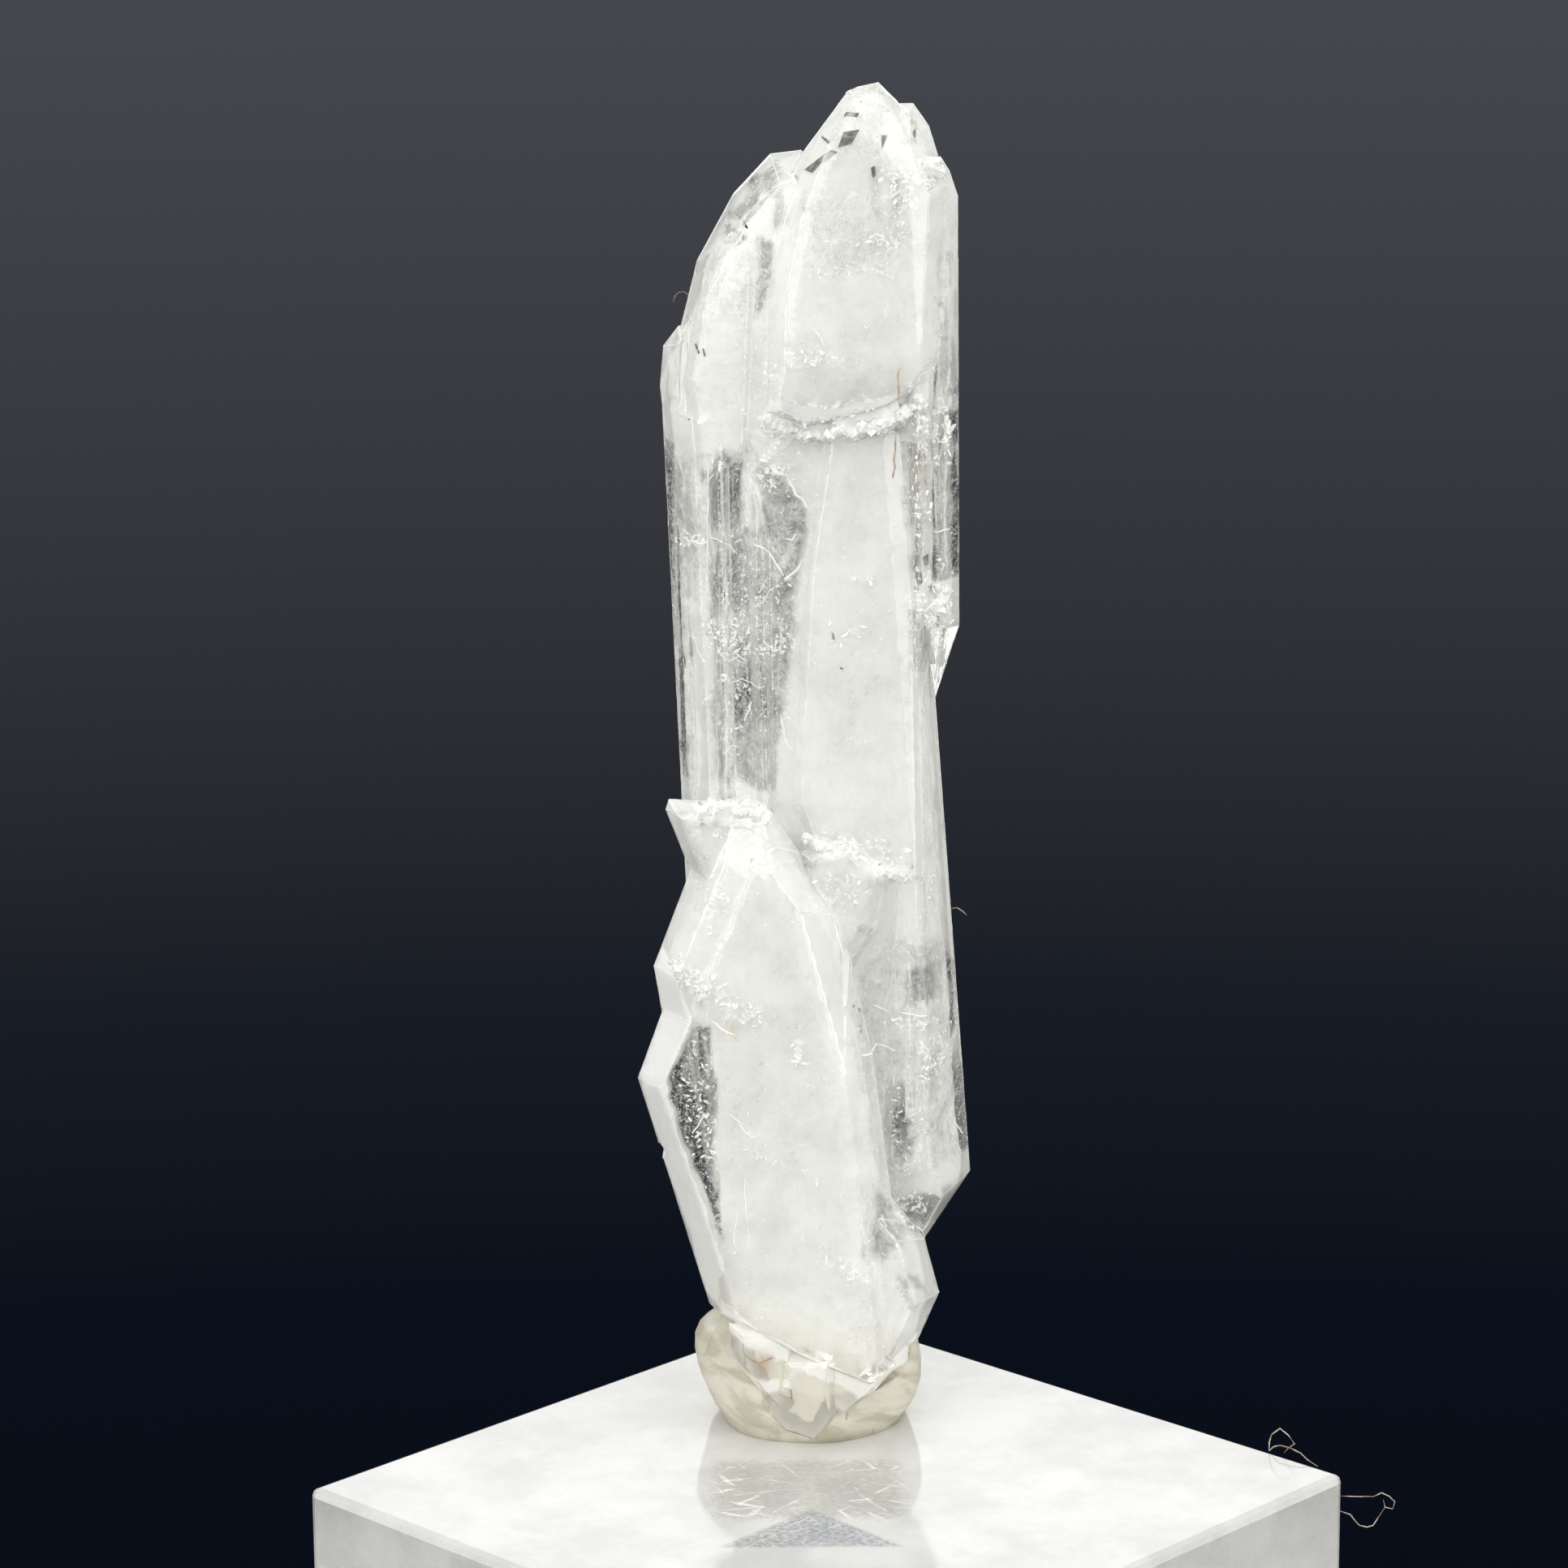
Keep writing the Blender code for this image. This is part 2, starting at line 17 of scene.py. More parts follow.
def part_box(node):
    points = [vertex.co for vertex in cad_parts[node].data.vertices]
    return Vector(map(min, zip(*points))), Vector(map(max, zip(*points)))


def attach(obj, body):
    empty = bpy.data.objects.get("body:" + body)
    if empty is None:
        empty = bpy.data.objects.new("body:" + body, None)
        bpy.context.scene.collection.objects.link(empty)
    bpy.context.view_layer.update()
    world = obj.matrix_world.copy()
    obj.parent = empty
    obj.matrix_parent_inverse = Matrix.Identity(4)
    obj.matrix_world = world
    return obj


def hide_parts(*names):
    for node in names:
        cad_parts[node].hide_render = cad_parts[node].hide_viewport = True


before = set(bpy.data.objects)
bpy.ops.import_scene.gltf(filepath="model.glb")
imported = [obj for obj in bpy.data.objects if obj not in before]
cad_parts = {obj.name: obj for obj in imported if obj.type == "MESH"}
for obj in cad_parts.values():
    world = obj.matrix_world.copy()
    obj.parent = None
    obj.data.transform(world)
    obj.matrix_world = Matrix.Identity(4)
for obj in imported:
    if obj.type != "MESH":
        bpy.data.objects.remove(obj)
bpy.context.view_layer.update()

MM = 0.001
SEED = 23
noise.seed_set(SEED)  # noise_vector would take its offsets from the clock
CUBE_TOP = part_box("acrylic_block")[1].z

# The camera: where it stands in millimetres from the cube's foot, and how it looks
CAMERA_PLACE = Vector((-2.0, -231.0, 129.4))
CAMERA_PITCH = math.radians(-13.22)
CAMERA_ROLL = math.radians(-0.4)
CAMERA_LENS = 108.8
CAMERA_SENSOR = 36.0
CAMERA_NEAR = 0.01  # metres

# The backdrop's colour against the height of the view direction, from looking down to nearly level
BACKDROP = [
    (-0.4, (8, 12, 22)), (-0.33, (11, 17, 28)), (-0.27, (25, 29, 37)), (-0.2, (47, 49, 54)),
    (-0.13, (60, 62, 67)), (-0.05, (71, 74, 80)),
]
OVERHEAD_GLOW = (120, 122, 125)

FLOOR_RADIUS = 78.0
FLOOR_THICKNESS = 2.0

# Meshes
MERGE = 0.002  # vertices closer than this are one
SPLIT_PASSES = 7
BORDER_PASSES = 3
BORDER_STEP = 0.12  # an edge whose ends differ more than this in milkiness crosses a border
TUBE_SIDES = 4
TUBE_TAPER = 0.35  # how wide a tube's ends are, as a share of its width

# Crystal skin
SKIN_EDGE = 0.62  # longest edge of the refined mesh
SKIN_RELIEF = 0.012
SHARP_ANGLE = math.radians(14.0)
WORN_ANGLE = math.radians(15.0)
FLAT_ANGLE = math.radians(0.5)
BACKWARD = 0.1  # a face whose normal reaches further than this along y faces the back
WORN_WIDTH = 0.04  # bevel along the crystals' edges
OUTLINE_WIDTH = 0.12  # and along the edges between their fronts and their backs
SKIN_FROST = 0.14  # how white the skin itself gets where the crystal is milky
FROSTED = (1.2, 1.7)  # milkiness at which the skin starts to frost, and at which it is white
QUARTZ_IOR = 1.544

# Haze under the skin
VEIL_DEPTH = 0.13
VEIL_EDGE = 0.95  # longest edge of the veil's mesh, and the shortest at a border
VEIL_FINEST = 0.2
CLOUD_DEPTH = 0.95
CLOUD_VOXEL = 0.34
CLOUD_PUFF = 0.3  # how far its surface billows
CLOUD_PUFF_SCALE = 0.6
CLOUD_EASING = 4  # rounds of smoothing
HAZE_MARGIN = 0.6  # how near the skin haze may come, as a share of its depth
PUSH_PASSES = 3


def srgb(red, green, blue):
    """An 8-bit sRGB colour as linear values."""
    channels = (value / 255.0 for value in (red, green, blue))
    return tuple(c / 12.92 if c <= 0.04045 else ((c + 0.055) / 1.055) ** 2.4 for c in channels)


def spot(x, y, z):
    """Specimen millimetres to the frame's metres."""
    return Vector((x * MM, y * MM, z * MM + CUBE_TOP))


def smooth(value, low, high):
    """0 at low, 1 at high, eased between them."""
    share = np.clip((value - low) / (high - low), 0.0, 1.0)
    return share * share * (3.0 - 2.0 * share)


def around(ring):
    """Each item of a closed ring with the one after it."""
    return zip(ring, ring[1:] + ring[:1])


# ---------------------------------------------------------------- materials

class Nodes:
    """A material's node tree, with short ways to add and join nodes."""

    def __init__(self, name, **values):
        self.material = bpy.data.materials.new(name)
        self.material.use_nodes = True
        self.tree = self.material.node_tree
        self.shader = self.tree.nodes["Principled BSDF"]
        for socket, value in values.items():
            self.set(self.shader, socket.replace("_", " "), value)

    def set(self, node, socket, value):
        """Links an input to another node's output, or sets it to a plain value."""
        if isinstance(value, bpy.types.NodeSocket):
            self.tree.links.new(value, node.inputs[socket])
        else:
            node.inputs[socket].default_value = value

    def drive(self, source, socket):
        self.set(self.shader, socket, source)

    def add(self, kind, sockets=None, **settings):
        node = self.tree.nodes.new("ShaderNode" + kind)
        for key, value in settings.items():
            setattr(node, key, value)
        for socket, value in (sockets or {}).items():
            self.set(node, socket, value)
        return node

    def attribute(self, name):
        return self.add("Attribute", attribute_name=name).outputs["Fac"]

    def place(self, scale=(1.0, 1.0, 1.0), turn=(0.0, 0.0, 0.0)):
        """The object's own coordinates in millimetres, turned and then stretched."""
        metres = self.add("TexCoord").outputs["Object"]
        turned = self.add("Mapping", {"Vector": metres, "Scale": (1.0 / MM,) * 3, "Rotation": turn})
        stretched = self.add("Mapping", {"Vector": turned.outputs["Vector"], "Scale": scale})
        return stretched.outputs["Vector"]

    def noise(self, vector, scale, detail=4.0, roughness=0.55, distortion=0.0):
        sockets = {"Vector": vector, "Scale": scale, "Detail": detail, "Roughness": roughness,
                   "Distortion": distortion}
        return self.add("TexNoise", sockets).outputs["Fac"]

    def split(self, vector):
        return self.add("SeparateXYZ", {"Vector": vector}).outputs

    def facing(self, axis):
        """How far the surface faces along an axis of the room, -1 to 1."""
        return self.split(self.add("NewGeometry").outputs["Normal"])[axis]

    def math(self, operation, first, second=0.0, clamp=False):
        sockets = {0: first, 1: second}
        return self.add("Math", sockets, operation=operation, use_clamp=clamp).outputs[0]

    def plus(self, first, second):
        return self.math("ADD", first, second)

    def minus(self, first, second):
        return self.math("SUBTRACT", first, second)

    def times(self, first, second):
        return self.math("MULTIPLY", first, second)

    def remap(self, value, low, high, to_low=0.0, to_high=1.0):
        sockets = {"Value": value, "From Min": low, "From Max": high, "To Min": to_low,
                   "To Max": to_high}
        return self.add("MapRange", sockets, interpolation_type="SMOOTHSTEP").outputs["Result"]

    def blend(self, share, first, second):
        """A colour between two colours, or between a socket and a colour."""
        first, second = ((*side, 1.0) if isinstance(side, tuple) else side
                         for side in (first, second))
        return self.add("Mix", {0: share, 6: first, 7: second}, data_type="RGBA").outputs[2]

    def bump(self, height, strength, distance, before=None):
        sockets = {"Strength": strength, "Distance": distance * MM, "Height": height}
        if before is not None:
            sockets["Normal"] = before
        return self.add("Bump", sockets).outputs["Normal"]


# ---------------------------------------------------------------- milkiness

# How milky the crystal is. Each zone is painted over the ones before it: its level (0 clear,
# 1 milky, more where the skin is frosted too), how softly its border fades, its outline in x and z
# as seen from the front, and the depths it spans. MILKY is the level outside every zone.
MILKY = 1.1
DEPTH_FADE = 0.4
Zone = namedtuple("Zone", "level border outline depths", defaults=((1.0, 17.0),))
ZONES = {name: Zone(*row) for name, row in {
    "upper_left_haze": (0.78, 0.4, [(-3.6, 63.0), (-3.2, 62.4), (-3.6, 59.8), (-5.4, 59.6),
        (-6.2, 60.6), (-5.4, 61.6)]),
    "upper_left_facet": (0.24, 0.12, [(-3.4, 66.4), (-2.5, 67.1), (-2.0, 67.3), (-2.0, 66.8),
        (-2.4, 66.3), (-2.5, 65.5), (-2.9, 64.8), (-3.5, 64.2), (-4.3, 64.0), (-4.8, 63.7),
        (-4.7, 64.7), (-4.3, 65.0), (-3.7, 65.4), (-3.5, 65.9)]),
    "upper_left_wedge": (0.08, 0.08, [(-4.3, 63.8), (-3.7, 63.8), (-3.7, 63.4), (-4.7, 62.8),
        (-5.4, 61.9), (-5.5, 62.0), (-4.9, 62.9), (-4.8, 63.4)]),
    "slab_groove": (0.42, 0.2, [(-3.3, 63.7), (-2.3, 63.3), (-2.4, 62.4), (-2.5, 61.4),
        (-2.9, 59.9), (-3.4, 59.5), (-3.4, 61.1), (-3.1, 62.8)]),
    "slab_groove_top": (0.5, 0.15, [(-2.3, 66.8), (-1.7, 66.8), (-1.8, 64.8), (-2.0, 63.4),
        (-2.4, 63.6), (-2.5, 65.0)]),
    "apex": (0.84, 0.5, [(0.4, 69.6), (2.0, 70.9), (3.6, 70.4), (4.4, 68.6), (2.4, 67.8),
        (0.8, 68.2)]),
    "slab_dip": (0.86, 0.9, [(-1.5, 65.5), (2.0, 65.8), (4.5, 64.5), (4.8, 62.5), (1.0, 61.8),
        (-1.6, 62.6)]),
    "slab_streak": (0.62, 0.25, [(2.6, 67.3), (3.0, 67.3), (3.1, 64.8), (2.7, 64.6)]),
    "slab_streak_right": (0.66, 0.25, [(3.7, 67.0), (4.1, 67.0), (4.2, 65.0), (3.8, 64.8)]),
    "right_top": (0.55, 0.12, [(5.8, 62.5), (6.8, 62.5), (6.8, 60.9), (6.1, 60.8)]),
    "right_upper": (0.38, 0.12, [(5.8, 60.4), (6.4, 60.4), (6.9, 57.5), (7.0, 54.8), (5.8, 55.0),
        (6.0, 57.5)]),
    "right_strip": (0.04, 0.14, [(5.8, 54.4), (7.1, 54.5), (7.1, 45.7), (5.8, 45.8)]),
    "inner_strip": (0.38, 0.12, [(4.1, 53.1), (5.1, 53.1), (5.1, 49.2), (4.1, 48.6)]),
    "inner_strip_foot": (0.12, 0.08, [(4.7, 49.0), (5.1, 49.0), (5.2, 46.5), (4.7, 46.0)]),
    "right_shoulder": (0.42, 0.2, [(4.4, 44.6), (5.3, 44.5), (5.6, 42.4), (5.3, 41.0),
        (4.5, 41.3)]),
    "right_corner": (0.15, 0.08, [(5.7, 43.3), (6.6, 43.2), (6.3, 42.1), (5.8, 42.3)]),
    "right_rib_tip": (0.8, 0.2, [(5.4, 41.9), (6.6, 41.9), (6.1, 39.2), (5.4, 39.2)]),
    "left_window": (0.46, 0.34, [(-5.6, 51.6), (-5.1, 53.0), (-4.4, 52.0), (-3.7, 53.3),
        (-3.0, 52.2), (-2.4, 51.8), (-0.9, 50.0), (-0.6, 48.8), (-1.2, 44.1), (-1.9, 39.0),
        (-2.4, 34.0), (-5.6, 34.0), (-5.7, 44.1)]),
    "left_window_column": (0.26, 0.3, [(-5.4, 51.6), (-4.8, 52.4), (-3.9, 51.9), (-4.0, 48.8),
        (-5.6, 48.6)]),
    "left_window_middle": (0.3, 0.2, [(-5.6, 47.4), (-4.2, 47.5), (-4.4, 44.6), (-5.5, 44.6)]),
    "left_window_foot": (0.15, 0.12, [(-4.5, 40.3), (-2.9, 40.3), (-2.3, 39.0), (-3.3, 38.1),
        (-4.6, 38.4)]),
    "pale_rib": (0.95, 0.08, [(-3.9, 52.6), (-3.2, 52.6), (-3.3, 48.6), (-3.9, 48.6)]),
    "left_rib": (0.72, 0.1, [(-6.6, 52.6), (-5.7, 52.6), (-5.8, 44.6), (-6.7, 44.6)]),
    "left_edge": (0.0, 0.14, [(-8.1, 53.4), (-7.4, 52.3), (-6.7, 51.6), (-6.7, 44.5), (-6.8, 40.8),
        (-6.7, 34.1), (-7.5, 34.1), (-7.9, 44.0)]),
    "right_side": (0.62, 0.12, [(5.2, 37.2), (5.6, 37.2), (5.7, 31.6), (5.3, 31.2)]),
    "lower_window": (0.74, 0.35, [(1.3, 23.6), (1.9, 25.3), (4.0, 27.1), (6.4, 26.2), (7.0, 25.1),
        (7.4, 19.3), (6.5, 14.4), (4.5, 13.9), (4.1, 12.2), (2.8, 13.5), (2.0, 18.9)]),
    "lower_window_streak": (0.36, 0.2, [(3.5, 19.3), (4.4, 19.1), (4.7, 14.9), (3.8, 14.2),
        (3.4, 16.2)]),
    "lower_window_top": (0.4, 0.2, [(4.4, 25.2), (5.7, 25.1), (5.6, 23.3), (4.5, 23.3)]),
    "lower_right_edge": (0.08, 0.08, [(6.7, 19.4), (7.5, 19.4), (7.8, 14.5), (6.9, 14.2),
        (6.8, 16.0)]),
    "lower_right_rim": (0.2, 0.1, [(6.5, 25.0), (6.9, 24.8), (7.3, 21.1), (6.6, 21.7)]),
    "lower_tip": (0.28, 0.12, [(3.9, 12.6), (4.9, 13.1), (6.2, 12.6), (5.4, 10.7), (4.4, 11.3)]),
    "lower_left_facet": (0.1, 0.08, [(-7.1, 23.4), (-5.9, 23.4), (-5.8, 21.3), (-5.5, 20.3),
        (-5.7, 16.4), (-5.5, 14.2), (-5.3, 11.7), (-5.9, 13.4), (-7.0, 16.2), (-7.7, 18.2),
        (-8.2, 19.7), (-7.7, 22.1)]),
    "lower_left_wedge": (0.25, 0.08, [(-6.6, 25.5), (-6.3, 25.2), (-5.9, 23.8), (-6.2, 24.1)]),
    "lower_front_corner": (0.55, 0.25, [(2.3, 13.9), (3.4, 13.4), (4.0, 10.9), (2.7, 10.1),
        (1.8, 10.9)], (1.0, 7.5)),
    "foot_edge": (0.3, 0.1, [(3.5, 9.3), (4.4, 8.6), (5.1, 7.2), (4.4, 7.7)]),
    "foot": (1.25, 0.5, [(-5.9, 6.9), (-0.8, 5.5), (2.4, 3.4), (5.6, 6.6), (5.6, -0.2),
        (-5.9, -0.1)], (1.0, 7.5)),
    "frosted_slab_seam": (1.8, 0.3, [(-3.1, 54.6), (-2.9, 53.8), (0.3, 53.2), (3.5, 53.9),
        (5.6, 55.2), (5.6, 56.4), (3.3, 55.6), (0.3, 55.1), (-2.6, 55.5)]),
    "frosted_centre_seam": (1.45, 0.3, [(-1.3, 32.9), (-0.9, 31.9), (1.5, 30.6), (4.4, 30.0),
        (4.9, 31.0), (1.8, 31.8), (-0.6, 33.2)]),
    "frosted_lower_top": (1.4, 0.25, [(-8.2, 34.9), (-8.0, 33.9), (-5.0, 33.6), (-2.4, 33.3),
        (-2.4, 34.6), (-4.6, 35.3)]),
    "frosted_upper_left_rim": (1.4, 0.12, [(-5.8, 64.4), (-5.3, 64.8), (-4.5, 65.7), (-3.5, 66.9),
        (-2.9, 67.5), (-2.4, 67.3), (-3.4, 66.6), (-3.8, 65.7), (-4.6, 64.8), (-5.0, 64.0),
        (-5.4, 63.3), (-5.9, 62.0), (-6.4, 62.0), (-6.3, 63.3)]),
    "frosted_foot_edge": (1.8, 0.12, [(-5.9, 8.0), (-5.3, 6.9), (-3.6, 6.0), (-1.9, 5.1),
        (-0.3, 4.3), (2.0, 3.1), (3.2, 3.5), (4.8, 4.8), (4.9, 5.8), (3.0, 4.6), (2.0, 4.1),
        (-0.3, 5.3), (-1.9, 6.1), (-3.7, 7.1), (-5.0, 8.2)], (1.0, 7.0)),
    "frosted_foot_corner": (1.8, 0.1, [(-5.0, 5.2), (-3.6, 3.5), (-2.1, 3.8), (-1.8, 4.8),
        (-2.4, 4.3), (-3.7, 4.3)], (1.0, 5.5)),
    "frosted_lower_bevel": (1.6, 0.12, [(-9.8, 20.1), (-8.5, 23.6), (-9.1, 26.3), (-8.5, 27.6),
        (-7.0, 24.1), (-7.2, 23.1), (-8.2, 19.5), (-7.1, 15.9), (-5.3, 10.6), (-5.7, 8.0),
        (-6.3, 8.1)]),
}.items()}
RAGGED = ((1.3, 0.14), (0.45, 0.26))  # how finely a zone's border wanders, and how far
WARM_HEIGHTS = (8.5, 3.0)  # where the warm tint starts, and where it is full
WARM_SLOPE = 0.35  # how much lower both lie per millimetre to the right


def within(x, z, outline, border):
    """1 inside a closed outline, 0 outside it, eased over the border's width."""
    inside = np.zeros(len(x), bool)
    away = np.full(len(x), 1000.0)
    for (x0, z0), (x1, z1) in around(outline):
        run, rise = x1 - x0, z1 - z0
        if rise:
            inside ^= ((z0 > z) != (z1 > z)) & (x < x0 + (z - z0) * run / rise)
        share = np.clip(((x - x0) * run + (z - z0) * rise) / (run * run + rise * rise), 0.0, 1.0)
        away = np.minimum(away, np.hypot(x - x0 - share * run, z - z0 - share * rise))
    return smooth(np.where(inside, away, -away), -border, border)


def milkiness(points):
    """How milky the crystal is at each point. points is (n, 3), specimen mm."""
    wander = sum(reach * np.array([noise.noise_vector(Vector(p) * fineness)[:] for p in points])
                 for fineness, reach in RAGGED)
    x, y, z = (points[:, axis] + wander[:, axis] for axis in range(3))
    milk = np.full(len(points), MILKY)
    for zone in ZONES.values():
        near, far = zone.depths
        share = within(x, z, zone.outline, zone.border)
        share = share * smooth(y, near - DEPTH_FADE, near + DEPTH_FADE)
        share = share * smooth(y, far + DEPTH_FADE, far - DEPTH_FADE)
        milk += (zone.level - milk) * share
    return milk


def warmth(points):
    """How much the putty and dust below tint the crystal: 1 at its foot, 0 above."""
    return smooth(points[:, 2] + WARM_SLOPE * points[:, 0], *WARM_HEIGHTS)


# ---------------------------------------------------------------- mesh helpers

def new_object(name, data):
    """An object in the scene that shows this data."""
    shown = bpy.data.objects.new(name, data)
    bpy.context.scene.collection.objects.link(shown)
    return shown


def new_piece(name, bm, material, replaced=()):
    """A bmesh in the frame's metres as a piece that rides on the object's one body."""
    mesh = bpy.data.meshes.new(name)
    bm.to_mesh(mesh)
    bm.free()
    piece = new_object(name, mesh)
    mesh.materials.append(material)
    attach(piece, "root")
    if replaced:
        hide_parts(*replaced)
    return piece


def node_bmesh(name):
    """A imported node's mesh, its vertices joined up."""
    bm = bmesh.new()
    bm.from_mesh(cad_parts[name].data)
    bmesh.ops.remove_doubles(bm, verts=bm.verts[:], dist=MERGE * MM)
    bmesh.ops.dissolve_degenerate(bm, edges=bm.edges[:], dist=MERGE * MM)
    drop_folds(bm)
    return bm


def drop_folds(bm):
    """Takes out faces that lie back to back on the same corners."""
    by_corners = {}
    for face in bm.faces:
        by_corners.setdefault(frozenset(face.verts), []).append(face)
    folded = [face for faces in by_corners.values() if len(faces) > 1 for face in faces]
    bmesh.ops.delete(bm, geom=folded, context="FACES")


def split_edges(bm, edges):
    bmesh.ops.subdivide_edges(bm, edges=edges, cuts=1)
    bmesh.ops.triangulate(bm, faces=[face for face in bm.faces if len(face.verts) > 3])


def refine(bm, longest):
    """Splits edges until hardly any is longer than longest millimetres."""
    for _ in range(SPLIT_PASSES):
        long_edges = [edge for edge in bm.edges if edge.calc_length() > longest * MM]
        if not long_edges:
            break
        split_edges(bm, long_edges)
    drop_folds(bm)


def refine_borders(bm, shortest):
    """Splits the edges that cross from milky to clear, down to shortest millimetres."""
    for _ in range(BORDER_PASSES):
        bm.verts.index_update()
        milk = milkiness(specimen_points(bm.verts))
        crossing = [edge for edge in bm.edges if edge.calc_length() > shortest * MM
                    and abs(milk[edge.verts[0].index] - milk[edge.verts[1].index]) > BORDER_STEP]
        split_edges(bm, crossing)
    drop_folds(bm)


def sharp_edges(bm, outline):
    """The crystals' unworn edges: those between front and back, or else all the others."""
    found = []
    for edge in bm.edges:
        if not edge.is_manifold or edge.calc_face_angle() < WORN_ANGLE:
            continue
        if any(face.material_index for face in edge.link_faces):
            continue
        forward, behind = sorted(face.normal.y for face in edge.link_faces)
        if (forward < BACKWARD < behind) == outline:
            found.append(edge)
    return found


def wear_edges(bm):
    """Bevels the crystals' edges, as handling and growth leave them. The bevels take material 1."""
    bmesh.ops.dissolve_limit(bm, angle_limit=FLAT_ANGLE, verts=bm.verts[:], edges=bm.edges[:])
    surface = bvhtree.BVHTree.FromBMesh(bm)
    for outline, width in ((True, OUTLINE_WIDTH), (False, WORN_WIDTH)):
        bm.normal_update()
        bmesh.ops.bevel(bm, geom=sharp_edges(bm, outline), offset=width * MM, offset_type="OFFSET",
                        segments=1, profile=0.5, affect="EDGES", clamp_overlap=False, material=1)
    for vert in bm.verts:
        near, _, _, away = surface.find_nearest(vert.co)
        if away > 0.5 * WORN_WIDTH * MM:
            vert.co = near
    bmesh.ops.triangulate(bm, faces=bm.faces[:])


def specimen_points(verts):
    """Vertex places as (n, 3) specimen millimetres."""
    points = np.array([vert.co[:] for vert in verts])
    return (points - np.array((0.0, 0.0, CUBE_TOP))) / MM


def store(piece, name, values):
    """Writes one number per vertex as an attribute that the material reads."""
    layer = piece.data.attributes.new(name, "FLOAT", "POINT")
    layer.data.foreach_set("value", np.asarray(values, dtype=np.float32))


def add_tube(bm, path, radius):
    """A closed tube along a path of points in metres, tapering to its ends."""
    rings = []
    for index, place in enumerate(path):
        ahead = path[min(index + 1, len(path) - 1)] - path[max(index - 1, 0)]
        turn = ahead.to_track_quat("Z", "Y").to_matrix()
        width = radius * MM * (TUBE_TAPER if index in (0, len(path) - 1) else 1.0)
        rings.append([bm.verts.new(place + turn @ Vector((math.cos(a), math.sin(a), 0.0)) * width)
                      for a in (2.0 * math.pi * side / TUBE_SIDES for side in range(TUBE_SIDES))])
    for low, high in zip(rings, rings[1:]):
        for (a, b), (c, d) in zip(around(low), around(high)):
            bm.faces.new((a, b, d, c))
    bm.faces.new(rings[0][::-1])
    bm.faces.new(rings[-1])


def add_flake(bm, place, half_x, half_y, half_z, turn, chance, sides):
    """A thin closed flake: a ragged ring between two points. Sizes in millimetres."""
    rim = []
    for side in range(sides):
        angle = 2.0 * math.pi * side / sides
        reach = chance.uniform(0.5, 1.15)
        off = Vector((math.cos(angle) * half_x * reach, math.sin(angle) * half_y * reach, 0.0))
        rim.append(bm.verts.new(place + turn @ off * MM))
    top = bm.verts.new(place + turn @ Vector((0.0, 0.0, half_z)) * MM)
    bottom = bm.verts.new(place + turn @ Vector((0.0, 0.0, -half_z)) * MM)
    for here, after in around(rim):
        bm.faces.new((here, after, top))
        bm.faces.new((after, here, bottom))


# ---------------------------------------------------------------- quartz

def skin_material():
    """Clear quartz, faintly frosted where it is milky, with growth striations across its length."""
    made = Nodes("quartz", IOR=QUARTZ_IOR)
    grain = made.noise(made.place(), 0.9, 6.0, 0.62)
    fine = made.noise(made.place((1.0, 1.0, 1.7)), 4.5, 5.0, 0.6)
    patchy = made.plus(made.attribute("milk"), made.times(grain, 0.6))
    frost = made.plus(made.remap(patchy, 0.6, 1.6, 0.0, SKIN_FROST),
                      made.remap(made.attribute("milk"), *FROSTED, 0.0, 0.5))
    made.drive(made.minus(1.0, frost), "Transmission Weight")
    made.drive(made.plus(0.012, made.times(frost, 0.3)), "Roughness")
    tint = made.blend(made.remap(grain, 0.3, 0.7), srgb(250, 250, 247), srgb(253, 253, 250))
    tint = made.blend(made.attribute("stain"), tint, srgb(190, 140, 84))
    made.drive(tint, "Base Color")
    lines = made.noise(made.place((0.1, 0.1, 1.0)), 2.6, 5.0, 0.7)
    normal = made.bump(lines, 0.05, 0.05)
    made.drive(made.bump(fine, 0.1, 0.04, normal), "Normal")
    return made.material


def edge_material():
    """The worn, white edges of the crystals, whiter in some stretches than in others, with a
    painted rim highlight where they turn sideways along the outline.
    """
    made = Nodes("quartz_edge", IOR=QUARTZ_IOR, Base_Color=(0.97, 0.97, 0.95, 1.0))
    stretch = made.noise(made.place(), 1.3, 4.0, 0.6)
    # Painted rim highlight: edges whose faces turn sideways, along the crystal's outline, are
    # frosted whiter.
    outline = made.remap(made.math("ABSOLUTE", made.facing("Y")), 0.85, 0.4, 0.0, 0.55)
    white = made.plus(made.remap(stretch, 0.35, 0.7, 0.02, 0.26), outline)
    made.drive(made.minus(1.0, white), "Transmission Weight")
    made.drive(made.times(white, 0.35), "Roughness")
    return made.material


# Iron stains: centre and radius, how they stretch along each axis, and how strong they are
STAINS = [
    (-1.7, 6.2, 33.0, 0.3), (-1.5, 5.6, 30.4, 0.25), (-4.7, 4.0, 23.2, 0.3), (-3.3, 4.4, 5.1, 0.75),
]
STAIN_STRETCH = (1.0, 2.5, 1.6)
STAIN_STRENGTH = 0.8


